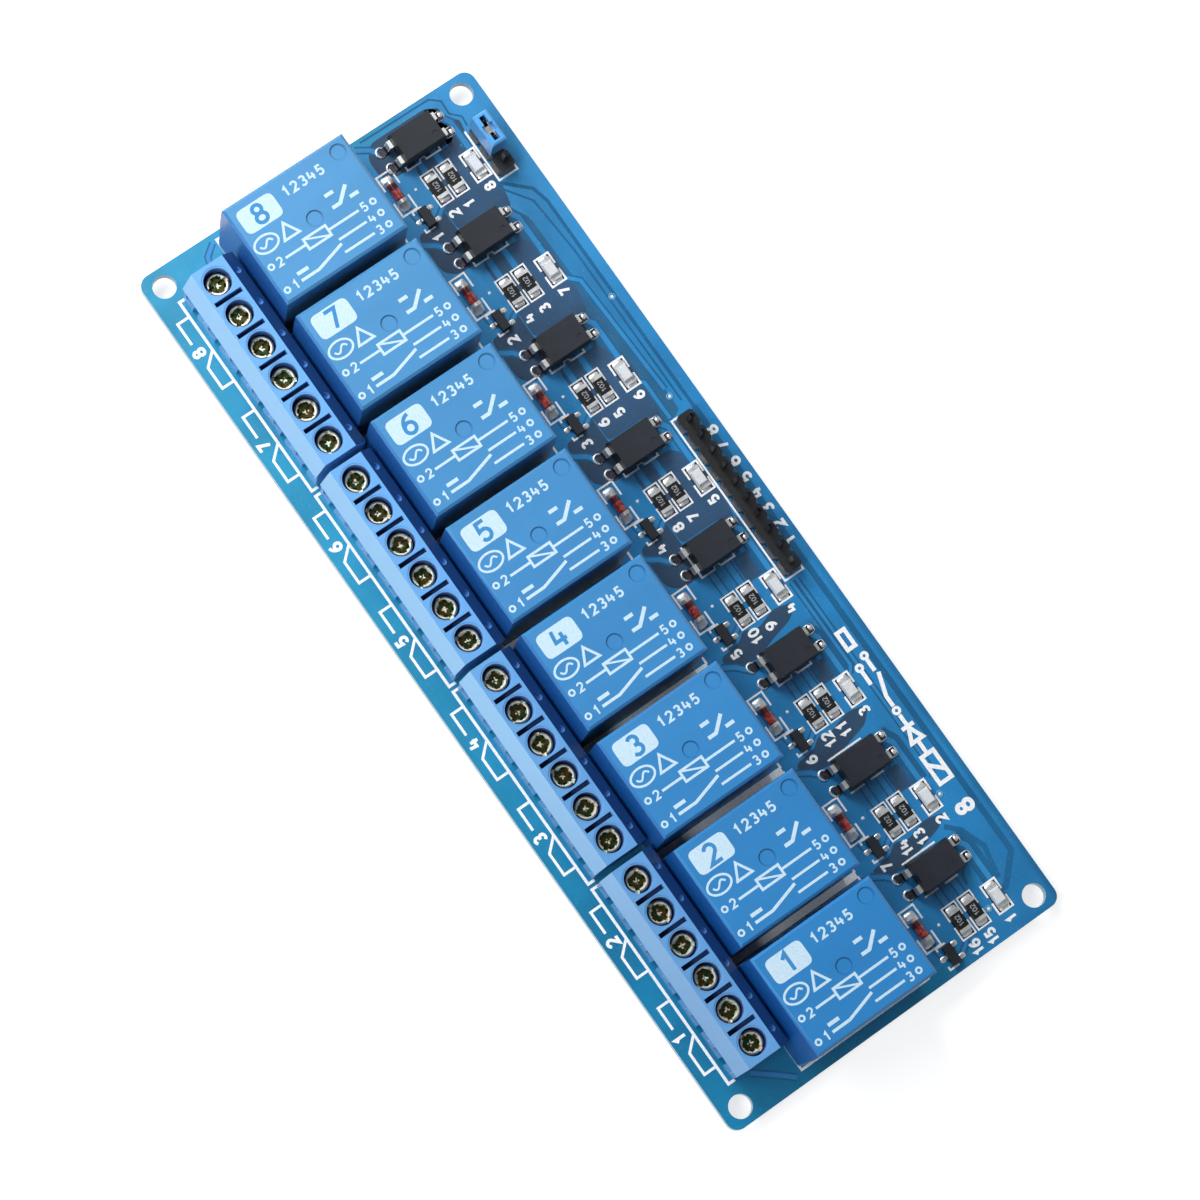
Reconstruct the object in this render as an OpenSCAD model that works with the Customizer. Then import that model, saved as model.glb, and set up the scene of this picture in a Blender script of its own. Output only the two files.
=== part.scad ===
// Eight-channel relay module: a circuit board with a row of sealed relays, four blocks of screw
// terminals along one long edge, and the driver parts and pin headers along the other.
//
// Frame: X runs along the board from channel 8 to channel 1, Y from the screw terminals to the
// pin headers, Z up. The origin is the middle of the four mounting holes, on the board's underside.

/* [Circuit board] */
// Thickness of the circuit board
board_t = 1.6; // [1.2:0.2:2.4]
// Radius of the board's corners
board_corner_r = 1.6; // [0.5:0.1:2]
// Bare board between its long edge and the screw terminals
front_margin = 3.65; // [3.4:0.05:8]
// Bare board between the pin headers and the other long edge
back_margin = 2.7; // [2.5:0.05:8]
// Bare board past each end of the relay row
end_margin = 1.75; // [1.6:0.05:8]
// Diameter of the mounting holes
mount_hole_d = 3.2; // [2.2:0.1:3.4]
// Distance of the mounting holes from the short edges
mount_inset_x = 2.5; // [2.2:0.1:3]
// Distance of the mounting holes from the long edges
mount_inset_y = 2.75; // [2.3:0.05:3]
// Clearance round a lead in its drilled hole
drill_clearance = 0.15; // [0.1:0.05:0.25]
// Width of the solder round each drilled hole
solder_ring = 0.45; // [0.3:0.05:0.55]
// Height of the solder round each lead
solder_h = 1; // [0.6:0.1:1.2]

/* [Relays] */
// Width of one relay along the row
relay_w = 15.3; // [15.1:0.1:17]
// Length of one relay across the board
relay_l = 19.1; // [18:0.1:22]
// Height of a relay above the board
relay_h = 15.7; // [12:0.1:20]
// Gap between neighbouring relays
relay_gap = 1.3; // [1.2:0.1:4]
// Gap between the relays and the terminal blocks
relay_front_gap = 0.45; // [0.3:0.05:3]
// Place of the relay row along the board
relay_row_x = -0.35; // [-1:0.05:1]
// Draft of each cover wall, from foot to top
cover_draft = 0.25; // [0.1:0.05:0.5]
// Chamfer round the top of a cover
cover_bevel = 0.35; // [0.2:0.05:0.8]
// Radius of a cover's upright edges
cover_edge_r = 0.6; // [0.3:0.1:1]
// Wall of a cover round its base plate
cover_wall = 0.8; // [0.6:0.1:1]
// Diameter of the two round marks in a cover's top
cover_mark_d = 2.2; // [1.5:0.1:3]
// Depth of the round marks
cover_mark_depth = 0.15; // [0.1:0.05:0.4]
// Distance of the outer mark's middle from two edges of the flat top
cover_mark_inset = 1.45; // [1.3:0.05:3]
// Thickness of the base plate in the foot of a cover
base_t = 1.6; // [1.2:0.1:2.5]
// Clearance between base plate and cover wall
base_clearance = 0.05; // [0.02:0.01:0.1]
// Height of the feet under a base plate
relay_foot_h = 0.3; // [0.2:0.05:0.6]
// Diameter of the feet under a base plate
relay_foot_d = 1.2; // [1:0.1:1.6]
// Distance of the outer relay pins from the cover's sides
relay_pin_side_inset = 1.65; // [1.5:0.05:2]
// Distance of the relay pins from the cover's two ends
relay_pin_end_inset = 2.45; // [1.8:0.05:3]
// Distance between the common pin and the coil pins, along the relay
coil_pin_step = 2; // [1.8:0.1:3]
// Width of a contact pin
contact_pin_w = 1; // [0.8:0.1:1.2]
// Thickness of a contact pin
contact_pin_t = 0.5; // [0.4:0.1:0.8]
// Diameter of a coil pin
coil_pin_d = 0.65; // [0.5:0.05:0.9]
// How far the relay pins stand out under the board
relay_tail = 1.5; // [1.2:0.1:1.7]

/* [Screw terminals] */
// Distance between neighbouring poles
pole_pitch = 5; // [5:0.02:5.08]
// End wall of a block beyond its outer poles
block_end_wall = 0.1; // [0.05:0.05:0.2]
// Gap between neighbouring blocks
block_gap = 1; // [0.5:0.1:1.4]
// Height of a block above the board
block_h = 10; // [9.8:0.1:12]
// Depth of a block across the board
block_d = 7.7; // [7.6:0.1:9]
// Height at which the sloping front starts
block_slope_z = 5.6; // [5.4:0.1:6.4]
// How far the slope leans back
block_slope_d = 1.3; // [0.8:0.1:1.4]
// How far the front wall stands behind the slope's foot
block_front_step = 0.25; // [0.1:0.05:0.4]
// Chamfer along the top of the back
block_back_bevel = 1.6; // [1:0.1:1.8]
// Width of the slots in the top between two poles
web_slot_w = 0.65; // [0.4:0.05:0.9]
// Length of those slots
web_slot_l = 4.1; // [3:0.1:4.2]
// Depth of those slots
web_slot_depth = 2.5; // [1:0.1:3]
// Diameter of the small hole behind each screw
vent_d = 0.95; // [0.6:0.05:1.2]
// Distance of the small holes from the block's back
vent_inset = 0.95; // [0.8:0.05:1.2]
// Wall in front of the chamber that holds a clamp
chamber_front_wall = 1.2; // [1:0.1:1.4]
// Wall behind that chamber
chamber_back_wall = 1.1; // [0.8:0.1:1.2]
// Roof of the chamber, under the screw heads
roof_t = 0.4; // [0.3:0.05:0.6]
// Distance of the screws from the block's front
screw_row = 3.65; // [3.6:0.05:3.75]
// Width of the mouth for the wire
wire_mouth_w = 4.1; // [3.4:0.1:4.2]
// Height of the mouth for the wire
wire_mouth_h = 3.7; // [3.2:0.1:3.8]
// Radius of the mouth's corners
wire_mouth_r = 0.3; // [0.1:0.05:0.6]
// Height of the sill under the mouth
wire_sill_z = 1.6; // [1.2:0.1:1.8]
// Width of the notch below each mouth
sill_notch_w = 1; // [0.6:0.1:1.4]
// Diameter of a screw well
well_d = 3.7; // [3.6:0.1:4]
// Width of the shallow ring round a well's mouth
well_rim_w = 0.22; // [0.1:0.02:0.25]
// Depth of that ring
well_rim_depth = 0.12; // [0.05:0.01:0.2]
// Depth of a screw head's top below the top of the block
screw_depth = 1.7; // [1:0.1:1.9]
// Diameter of a screw head
screw_head_d = 3.3; // [3:0.1:3.5]
// Height of a screw head
screw_head_h = 1.4; // [1.2:0.1:1.5]
// Chamfer round a screw head's top
screw_head_chamfer = 0.3; // [0.1:0.05:0.4]
// Diameter of the dish in a screw head
screw_dish_d = 2.3; // [1.6:0.1:2.3]
// Depth of the dish
screw_dish_depth = 0.3; // [0.1:0.05:0.4]
// Diameter of a screw's shank
screw_d = 2.5; // [2:0.1:2.5]
// Width of the slot and cross in a screw head
screw_slot_w = 0.6; // [0.4:0.1:0.8]
// Length of the cross, shorter than the full slot
screw_cross_l = 2.4; // [1.8:0.1:2.8]
// Depth of the slot and cross
screw_slot_depth = 0.7; // [0.5:0.1:1]
// Width of a clamp cage
cage_w = 4; // [3.6:0.1:4]
// Length of a clamp cage, along the wire
cage_l = 3.6; // [3:0.1:3.7]
// Side and bottom wall of a clamp cage
cage_wall = 0.6; // [0.5:0.05:0.7]
// Threaded top wall of a clamp cage
cage_top = 1; // [0.8:0.1:1.1]
// Width of a contact's tongue inside the cage
tongue_w = 2.4; // [1.8:0.1:2.4]
// Thickness of a contact
contact_t = 0.8; // [0.6:0.1:0.8]
// Width of a contact's leg
contact_leg_w = 1; // [0.8:0.1:1.2]
// Clearance between moving or fitted metal and the housing
terminal_clearance = 0.1; // [0.05:0.05:0.15]
// How far contacts and header pins stand out under the board
lead_tail = 1.8; // [1.8:0.1:3]

/* [Driver parts] */
// How much further apart the driver parts are than the relays
driver_spread = 0.33; // [0:0.01:0.4]
// Distance from the relays to the row of diodes
diode_row = 4.2; // [3:0.1:4.4]
// Distance from the relays to the row of transistors
transistor_row = 5.75; // [5.4:0.05:5.9]
// Distance from the relays to the row of optocouplers
coupler_row = 10.5; // [10.2:0.05:10.8]
// Distance from the relays to the middle of the resistor pairs
resistor_row = 10.45; // [10:0.05:10.8]
// Distance between the two resistors of a pair
resistor_step = 2.5; // [2:0.1:2.8]
// Distance from the relays to the row of indicator lights
indicator_row = 15.25; // [14.8:0.05:15.5]
// Width of an optocoupler's body
coupler_w = 4.6; // [4:0.1:4.8]
// Length of an optocoupler's body
coupler_l = 6.5; // [6:0.1:6.8]
// Height of an optocoupler above the board
coupler_h = 3.55; // [3:0.05:4]
// Draft of an optocoupler's sides, each way from its parting line
coupler_draft = 0.22; // [0.1:0.02:0.3]
// How far an optocoupler's leads reach beyond its body
coupler_lead_reach = 1.75; // [1.5:0.05:1.9]
// Length of the flat foot of those leads
coupler_foot_l = 0.95; // [0.8:0.05:1.1]
// Width of an optocoupler's leads
coupler_lead_w = 1.1; // [0.8:0.1:1.3]
// Thickness of an optocoupler's leads
coupler_lead_t = 0.25; // [0.2:0.05:0.3]
// Width of a transistor's body
transistor_w = 2.9; // [2.7:0.1:3.1]
// Length of a transistor's body
transistor_l = 1.4; // [1.2:0.1:1.5]
// Height of a transistor
transistor_h = 1.05; // [0.9:0.05:1.2]
// How far a transistor's leads reach beyond its body
transistor_lead_reach = 0.62; // [0.55:0.01:0.7]
// Length of the flat foot of those leads
transistor_foot_l = 0.32; // [0.25:0.01:0.35]
// Distance of a transistor's outer leads from its middle
transistor_lead_offset = 0.95; // [0.9:0.01:1]
// Width of a transistor's leads
transistor_lead_w = 0.42; // [0.35:0.01:0.5]
// Thickness of a transistor's leads
transistor_lead_t = 0.15; // [0.1:0.01:0.2]
// Length of a diode over its end caps
diode_l = 3.5; // [3.2:0.1:3.8]
// Diameter of a diode's glass
diode_d = 1.35; // [1.2:0.05:1.4]
// Diameter of a diode's end caps
diode_cap_d = 1.5; // [1.5:0.05:1.7]
// Length of a diode's end caps
diode_cap_l = 0.5; // [0.3:0.05:0.7]
// Length of a chip resistor or indicator light
chip_l = 3.2; // [2.8:0.1:3.4]
// Width of a chip resistor or indicator light
chip_w = 1.6; // [1.4:0.1:1.7]
// Thickness of a chip resistor
resistor_h = 0.6; // [0.4:0.05:0.8]
// Thickness of an indicator light's base
indicator_base_h = 0.5; // [0.4:0.05:0.7]
// Height of an indicator light's lens above its base
lens_h = 0.55; // [0.4:0.05:0.8]
// Length of a chip's end cap
chip_cap_l = 0.5; // [0.3:0.05:0.6]
// Thickness of a chip's end cap
chip_cap_t = 0.08; // [0.05:0.01:0.12]

/* [Pin headers] */
// Distance between header pins
header_pitch = 2.54; // [2.5:0.01:2.6]
// Distance from the relays to the line of header pins
header_row = 18.15; // [18.1:0.05:19]
// Place of the input header along the board
input_header_x = -0.15; // [-2:0.05:2]
// Distance of the power header's middle from the board's end
power_header_inset = 11; // [8.5:0.05:16]
// Width and height of the plastic strip
strip_w = 2.5; // [2.3:0.05:2.6]
// Width of a square header pin
pin_w = 0.64; // [0.5:0.02:0.7]
// Height of the pin tips above the board
pin_h = 6.6; // [6.5:0.1:9]
// Length of the tapered pin tips
pin_tip_l = 0.6; // [0.3:0.1:0.9]
// Height of the jumper cap
jumper_h = 4.3; // [4.3:0.1:6.5]
// End wall of the jumper cap
jumper_end_wall = 0.55; // [0.4:0.05:0.6]
// Side wall of the jumper cap
jumper_side_wall = 0.65; // [0.4:0.05:0.7]
// Gap between the jumper cap's end and the next pin's cell
jumper_end_gap = 0.1; // [0.05:0.05:0.2]
// Thickness of the leaves of the clip inside the jumper cap
clip_leaf_t = 0.2; // [0.15:0.05:0.25]
// How far the leaves reach beyond the two pins
clip_overhang = 0.15; // [0.1:0.05:0.2]
// Width of the web that joins the leaves between the pins
clip_web = 1; // [0.6:0.1:1.4]
// Length of the slot in the jumper cap's top
jumper_slot_l = 3.7; // [3.4:0.1:3.8]
// Length of the window in the middle of that slot
jumper_window_l = 1.2; // [0.8:0.1:1.4]
// Width of that window, across the slot
jumper_window_w = 1.6; // [1.2:0.1:1.6]

/* [Hidden] */
channels = 8;
blocks = 4;
poles = 6;
input_pins_n = 10;
power_pins_n = 3;
overcut = 0.2;
$fn = 48;

// Overall size of the board, from what stands on it
relay_pitch = relay_w + relay_gap;
driver_pitch = relay_pitch + driver_spread;
board_l = channels * relay_pitch - relay_gap + 2 * end_margin;
board_w = front_margin + block_d + relay_front_gap + relay_l + header_row + strip_w / 2 + back_margin;
mount_x = board_l / 2 - mount_inset_x;
mount_y = board_w / 2 - mount_inset_y;
power_header_x = power_header_inset - board_l / 2;

// Rows across the board
block_front_y = -board_w / 2 + front_margin;
relay_y = block_front_y + block_d + relay_front_gap + relay_l / 2;
relay_back_y = relay_y + relay_l / 2;
diode_y = relay_back_y + diode_row;
transistor_y = relay_back_y + transistor_row;
resistor_y = relay_back_y + resistor_row;
indicator_y = relay_back_y + indicator_row;
header_y = relay_back_y + header_row;

// Columns along the board. Channel 1 and block 1 are at the +X end.
block_l = poles * pole_pitch + 2 * block_end_wall;
block_pitch = block_l + block_gap;
driver_row_x = 0.7;
coupler_dx = -5.2;
indicator_dx = 3;
transistor_dx = 4.95;
resistor_shift = 0.25;
resistor_dx = indicator_dx - resistor_shift;
// Hand-laid parts stand a little off the regular columns, and two couplers off their row
coupler_nudge_x = [-0.3, 0.1, 0.2, -0.2, 0.1, 0.2, -0.4, 0.9];
coupler_nudge_y = [0, 0, 0.5, 0.5, 0, 0, 0, 0];
indicator_nudge_x = [-0.7, 0.5, 0.2, 0.6, 0, 0, -0.1, -0.4];

function column(count, number) = (count + 1) / 2 - number;
function relay_x(c) = relay_row_x + column(channels, c) * relay_pitch;
function driver_x(c) = driver_row_x + column(channels, c) * driver_pitch;
function block_x(b) = relay_row_x + column(blocks, b) * block_pitch;
function pole_x(p) = -column(poles, p) * pole_pitch;
function coupler_at(c) = [driver_x(c) + coupler_dx + coupler_nudge_x[c - 1],
                          relay_back_y + coupler_row + coupler_nudge_y[c - 1], board_t];
function indicator_x(c) = driver_x(c) + indicator_dx + indicator_nudge_x[c - 1];
function resistor_x(c) = driver_x(c) + resistor_dx + indicator_nudge_x[c - 1];
function header_pin_x(count, i) = -column(count, i) * header_pitch;

// Inside of a terminal pole, measured up from the board and back from the block's front
roof_z = block_h - screw_depth - screw_head_h;
chamber_top_z = roof_z - roof_t;
chamber_w = cage_w + 2 * terminal_clearance;
chamber_back_y = block_d - chamber_back_wall;
contact_leg_y = chamber_back_y - contact_t / 2;
cage_h = chamber_top_z - terminal_clearance - wire_sill_z;
tongue_top_z = wire_sill_z + cage_h - cage_top - terminal_clearance;

// Lead outlines seen from above
contact_pin_size = [contact_pin_w, contact_pin_t];
contact_leg_size = [contact_leg_w, contact_t];
header_pin_size = [pin_w, pin_w];

// ---- shared shapes ----

function drill_d(lead) = norm(lead) + 2 * drill_clearance;

// Upright outline with sloping sides and a chamfered top
function drafted(width, height, draft, bevel) = [
    [-width / 2, 0], [width / 2, 0],
    [width / 2 - draft, height - bevel], [width / 2 - draft - bevel, height],
    [bevel + draft - width / 2, height], [draft - width / 2, height - bevel]];

// Upright outline of a moulded body that is widest at its parting line
function parted(width, foot, parting, height, draft) = [
    [draft - width / 2, foot], [width / 2 - draft, foot], [width / 2, parting],
    [width / 2 - draft, height], [draft - width / 2, height], [-width / 2, parting]];

// Side view of a gull-wing lead that leaves its body at height h
function gull_wing(root, shoulder, knee, tip, h, t) = [
    [root, h + t / 2], [shoulder + t / 2, h + t / 2], [knee + t / 2, t], [tip, t],
    [tip, 0], [knee - t / 2, 0], [shoulder - t / 2, h - t / 2], [root, h - t / 2]];

// A solid with one outline seen along Y and another seen along X
module two_way(front, side, width, length) {
    intersection() {
        rotate([90, 0, 0])
            linear_extrude(height = length, center = true) polygon(front);
        rotate([90, 0, 90])
            linear_extrude(height = width, center = true) polygon(side);
    }
}

module along_x(length) {
    rotate([90, 0, 90]) linear_extrude(height = length, center = true) children();
}

module rounded_rectangle(length, width, r) {
    square([length - 2 * r, width], center = true);
    square([length, width - 2 * r], center = true);
    for (sx = [-1, 1], sy = [-1, 1])
        translate([sx * (length / 2 - r), sy * (width / 2 - r)]) circle(r);
}

module upright(from_z, to_z) {
    translate([0, 0, from_z]) linear_extrude(to_z - from_z) children();
}

// Puts its child at each relay, terminal pole or header pin
module at_relays() {
    for (c = [1:channels]) translate([relay_x(c), relay_y]) children();
}

module at_poles(b, y = 0) {
    for (p = [1:poles])
        translate([block_x(b) + pole_x(p), block_front_y + y]) children();
}

module at_header_pins(x, count) {
    for (i = [1:count]) translate([x + header_pin_x(count, i), header_y]) children();
}

// ---- circuit board ----

relay_pin_x = relay_w / 2 - relay_pin_side_inset;
relay_pin_y = relay_l / 2 - relay_pin_end_inset;

module contact_pin_places() {
    translate([0, relay_pin_y]) children();
    for (s = [-1, 1]) translate([s * relay_pin_x, -relay_pin_y]) children();
}

module coil_pin_places() {
    for (s = [-1, 1]) translate([s * relay_pin_x, relay_pin_y - coil_pin_step]) children();
}

module drilled_holes() {
    at_relays() {
        contact_pin_places() circle(d = drill_d(contact_pin_size));
        coil_pin_places() circle(d = coil_pin_d + 2 * drill_clearance);
    }
    for (b = [1:blocks]) at_poles(b, contact_leg_y) circle(d = drill_d(contact_leg_size));
    at_header_pins(input_header_x, input_pins_n) circle(d = drill_d(header_pin_size));
    at_header_pins(power_header_x, power_pins_n) circle(d = drill_d(header_pin_size));
}

module board() {
    color("royalblue") difference() {
        linear_extrude(board_t) difference() {
            rounded_rectangle(board_l, board_w, board_corner_r);
            drilled_holes();
        }
        for (sx = [-1, 1], sy = [-1, 1])
            translate([sx * mount_x, sy * mount_y, -overcut])
                cylinder(d = mount_hole_d, h = board_t + 2 * overcut);
    }
}

// A cone of solder on the underside, round the lead given as its child
module solder_joint(hole_d) {
    difference() {
        translate([0, 0, -solder_h])
            cylinder(d1 = hole_d, d2 = hole_d + 2 * solder_ring, h = solder_h);
        upright(-solder_h - overcut, overcut) children();
    }
}

module solder_joints() {
    color("silver") {
        at_relays() {
            contact_pin_places()
                solder_joint(drill_d(contact_pin_size)) square(contact_pin_size, center = true);
            coil_pin_places()
                solder_joint(coil_pin_d + 2 * drill_clearance) circle(d = coil_pin_d);
        }
        for (b = [1:blocks]) at_poles(b, contact_leg_y)
            solder_joint(drill_d(contact_leg_size)) square(contact_leg_size, center = true);
        at_header_pins(input_header_x, input_pins_n)
            solder_joint(drill_d(header_pin_size)) square(header_pin_size, center = true);
        at_header_pins(power_header_x, power_pins_n)
            solder_joint(drill_d(header_pin_size)) square(header_pin_size, center = true);
    }
}

// ---- relays ----

base_w = relay_w - 2 * (cover_wall + base_clearance);
base_l = relay_l - 2 * (cover_wall + base_clearance);
base_top_z = relay_foot_h + base_t;

module relay_pin_outlines() {
    contact_pin_places() square(contact_pin_size, center = true);
    coil_pin_places() circle(d = coil_pin_d);
}

module relay_cover(c) {
    cover_h = relay_h - relay_foot_h;
    mark_edge = cover_draft + cover_bevel + cover_mark_inset;
    mark_x = relay_w / 2 - mark_edge;
    mark_y = relay_l / 2 - mark_edge;
    color("dodgerblue") translate([relay_x(c), relay_y, board_t + relay_foot_h]) difference() {
        intersection() {
            two_way(drafted(relay_w, cover_h, cover_draft, cover_bevel),
                    drafted(relay_l, cover_h, cover_draft, cover_bevel), relay_w, relay_l);
            linear_extrude(cover_h) rounded_rectangle(relay_w, relay_l, cover_edge_r);
        }
        upright(-overcut, base_t)
            square([relay_w - 2 * cover_wall, relay_l - 2 * cover_wall], center = true);
        for (at = [[0, 0], [-mark_x, mark_y]])
            translate([at.x, at.y, cover_h - cover_mark_depth])
                cylinder(d = cover_mark_d, h = cover_mark_depth + overcut);
    }
}

module relay_base(c) {
    color("midnightblue") translate([relay_x(c), relay_y, board_t]) difference() {
        union() {
            upright(relay_foot_h, base_top_z) square([base_w, base_l], center = true);
            for (sx = [-1, 1], sy = [-1, 1])
                translate([sx * (base_w - relay_foot_d) / 2, sy * (base_l - relay_foot_d) / 2])
                    cylinder(d = relay_foot_d, h = relay_foot_h + overcut);
        }
        upright(-overcut, base_top_z + overcut) relay_pin_outlines();
    }
}

module relay_pins() {
    color("silver") at_relays() upright(-relay_tail, board_t + base_top_z) relay_pin_outlines();
}

// ---- screw terminals ----

// Section across a block, from its front to its back
block_outline = [
    [block_front_step, 0], [block_d, 0],
    [block_d, block_h - block_back_bevel], [block_d - block_back_bevel, block_h],
    [block_slope_d, block_h], [0, block_slope_z], [block_front_step, block_slope_z]];

// Everything that is open in one pole of a block
module pole_opening() {
    chamber_h = chamber_top_z - wire_sill_z;
    translate([-chamber_w / 2, chamber_front_wall, wire_sill_z])
        cube([chamber_w, chamber_back_y - chamber_front_wall, chamber_h]);
    translate([0, chamber_front_wall + overcut, wire_sill_z + wire_mouth_h / 2])
        rotate([90, 0, 0]) linear_extrude(chamber_front_wall + 2 * overcut)
            rounded_rectangle(wire_mouth_w, wire_mouth_h, wire_mouth_r);
    translate([-sill_notch_w / 2, -overcut, -overcut])
        cube([sill_notch_w, chamber_front_wall + overcut, wire_sill_z + 2 * overcut]);
    translate([0, screw_row, chamber_top_z - overcut])
        cylinder(d = screw_d + 4 * terminal_clearance, h = roof_t + 2 * overcut);
    translate([0, screw_row, roof_z]) cylinder(d = well_d, h = block_h);
    translate([0, screw_row, block_h - well_rim_depth])
        cylinder(d = well_d + 2 * well_rim_w, h = block_h);
    translate([0, block_d - vent_inset, block_h - block_back_bevel])
        cylinder(d = vent_d, h = block_back_bevel + overcut, $fn = 24);
    translate([0, contact_leg_y, -overcut]) linear_extrude(wire_sill_z + 2 * overcut)
        square([contact_leg_w + 2 * terminal_clearance, contact_t], center = true);
}

module terminal_block(b) {
    color("cornflowerblue") difference() {
        translate([block_x(b), block_front_y, board_t])
            along_x(block_l) polygon(block_outline);
        translate([0, 0, board_t]) {
            at_poles(b) pole_opening();
            for (p = [1:poles - 1])
                translate([block_x(b) + pole_x(p) + pole_pitch / 2, block_front_y + screw_row,
                           block_h - web_slot_depth / 2 + overcut / 2])
                    cube([web_slot_w, web_slot_l, web_slot_depth + overcut], center = true);
        }
    }
}

// Dished round head with a full slot and a shorter cross, on a plain shank
module terminal_screw() {
    head_r = screw_head_d / 2;
    head_z = roof_z + screw_head_h;
    dish_floor_r = screw_dish_d / 2 - screw_dish_depth;
    difference() {
        rotate_extrude() polygon([
            [0, tongue_top_z], [screw_d / 2, tongue_top_z], [screw_d / 2, roof_z], [head_r, roof_z],
            [head_r, head_z - screw_head_chamfer], [head_r - screw_head_chamfer, head_z],
            [screw_dish_d / 2, head_z], [dish_floor_r, head_z - screw_dish_depth],
            [0, head_z - screw_dish_depth]]);
        translate([0, 0, head_z]) {
            cube([screw_head_d + overcut, screw_slot_w, 2 * screw_slot_depth], center = true);
            cube([screw_slot_w, screw_cross_l, 2 * screw_slot_depth], center = true);
        }
    }
}

module terminal_screws(b) {
    turn_step = 47;
    color("silver") for (p = [1:poles])
        translate([block_x(b) + pole_x(p), block_front_y + screw_row, board_t])
            rotate((b * poles + p) * turn_step) terminal_screw();
}

module clamp_cages(b) {
    color("khaki") at_poles(b, screw_row) translate([0, 0, board_t + wire_sill_z]) difference() {
        translate([-cage_w / 2, -cage_l / 2, 0]) cube([cage_w, cage_l, cage_h]);
        translate([cage_wall - cage_w / 2, -cage_l, cage_wall])
            cube([cage_w - 2 * cage_wall, 2 * cage_l, cage_h - cage_wall - cage_top]);
        translate([0, 0, cage_wall]) cylinder(d = screw_d, h = cage_h);
    }
}

// Bent strip: a tongue through the cage and a leg down through the board
module terminal_contacts(b) {
    tongue_front_y = screw_row - cage_l / 2;
    color("gainsboro") at_poles(b) {
        translate([-tongue_w / 2, tongue_front_y, board_t + tongue_top_z - contact_t])
            cube([tongue_w, chamber_back_y - tongue_front_y, contact_t]);
        translate([0, contact_leg_y])
            upright(-lead_tail, board_t + tongue_top_z) square(contact_leg_size, center = true);
    }
}

// ---- driver parts ----

coupler_foot_z = 0.15;
coupler_parting_z = 1.9;

module coupler_lead_pair() {
    edge = coupler_l / 2;
    root_l = 0.6;
    shoulder_l = 0.4;
    tip = edge + coupler_lead_reach;
    lead = gull_wing(edge - root_l, edge + shoulder_l, tip - coupler_foot_l, tip,
                     coupler_parting_z, coupler_lead_t);
    for (side = [0, 180], s = [-1, 1])
        rotate(side) translate([s * header_pitch / 2, 0, 0]) along_x(coupler_lead_w) polygon(lead);
}

module optocoupler(c) {
    dot_inset = 1.2;
    dot_d = 0.9;
    dot_depth = 0.1;
    color("dimgray") translate(coupler_at(c)) difference() {
        two_way(parted(coupler_w, coupler_foot_z, coupler_parting_z, coupler_h, coupler_draft),
                parted(coupler_l, coupler_foot_z, coupler_parting_z, coupler_h, coupler_draft),
                coupler_w, coupler_l);
        coupler_lead_pair();
        translate([coupler_w / 2 - dot_inset, coupler_l / 2 - dot_inset, coupler_h - dot_depth])
            cylinder(d = dot_d, h = dot_depth + overcut, $fn = 24);
    }
}

module optocoupler_leads() {
    color("silver") for (c = [1:channels]) translate(coupler_at(c)) coupler_lead_pair();
}

transistor_parting_z = 0.5;

module transistor_lead_trio() {
    edge = transistor_l / 2;
    root_l = 0.2;
    shoulder_l = 0.12;
    tip = edge + transistor_lead_reach;
    lead = gull_wing(edge - root_l, edge + shoulder_l, tip - transistor_foot_l, tip,
                     transistor_parting_z, transistor_lead_t);
    for (s = [-1, 1])
        translate([s * transistor_lead_offset, 0, 0]) along_x(transistor_lead_w) polygon(lead);
    rotate(180) along_x(transistor_lead_w) polygon(lead);
}

module at_transistors() {
    for (c = [1:channels])
        translate([driver_x(c) + transistor_dx, transistor_y, board_t]) children();
}

module transistors() {
    draft = 0.08;
    foot_z = 0.05;
    color("dimgray") at_transistors() difference() {
        two_way(parted(transistor_w, foot_z, transistor_parting_z, transistor_h, draft),
                parted(transistor_l, foot_z, transistor_parting_z, transistor_h, draft),
                transistor_w, transistor_l);
        transistor_lead_trio();
    }
}

module transistor_leads() {
    color("silver") at_transistors() transistor_lead_trio();
}

module at_diodes() {
    for (c = [1:channels])
        translate([driver_x(c), diode_y, board_t + diode_cap_d / 2]) rotate([0, 90, 0]) children();
}

module diode_glass() {
    color("indianred") at_diodes()
        cylinder(d = diode_d, h = diode_l - 2 * diode_cap_l, center = true, $fn = 32);
}

module diode_caps() {
    color("silver") at_diodes() for (s = [-1, 1])
        translate([0, 0, s * (diode_l - diode_cap_l) / 2])
            cylinder(d = diode_cap_d, h = diode_cap_l, center = true, $fn = 32);
}

// Core of a chip part: its ends are thinner, where the caps wrap over them
module chip_core(h) {
    translate([0, 0, h / 2]) {
        cube([chip_l - 2 * chip_cap_l, chip_w, h], center = true);
        cube([chip_l - 2 * chip_cap_t, chip_w, h - 2 * chip_cap_t], center = true);
    }
}

module chip_caps(h) {
    difference() {
        for (s = [-1, 1])
            translate([s * (chip_l - chip_cap_l) / 2, 0, h / 2])
                cube([chip_cap_l, chip_w, h], center = true);
        chip_core(h);
    }
}

module at_resistors() {
    for (c = [1:channels], s = [-1, 1])
        translate([resistor_x(c), resistor_y + s * resistor_step / 2, board_t]) children();
}

module resistors() {
    color("black") at_resistors() chip_core(resistor_h);
}

module resistor_caps() {
    color("silver") at_resistors() chip_caps(resistor_h);
}

module at_indicators() {
    for (c = [1:channels]) translate([indicator_x(c), indicator_y, board_t]) children();
}

module indicator_bases() {
    color("whitesmoke") at_indicators() chip_core(indicator_base_h);
}

module indicator_caps() {
    color("silver") at_indicators() chip_caps(indicator_base_h);
}

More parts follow.
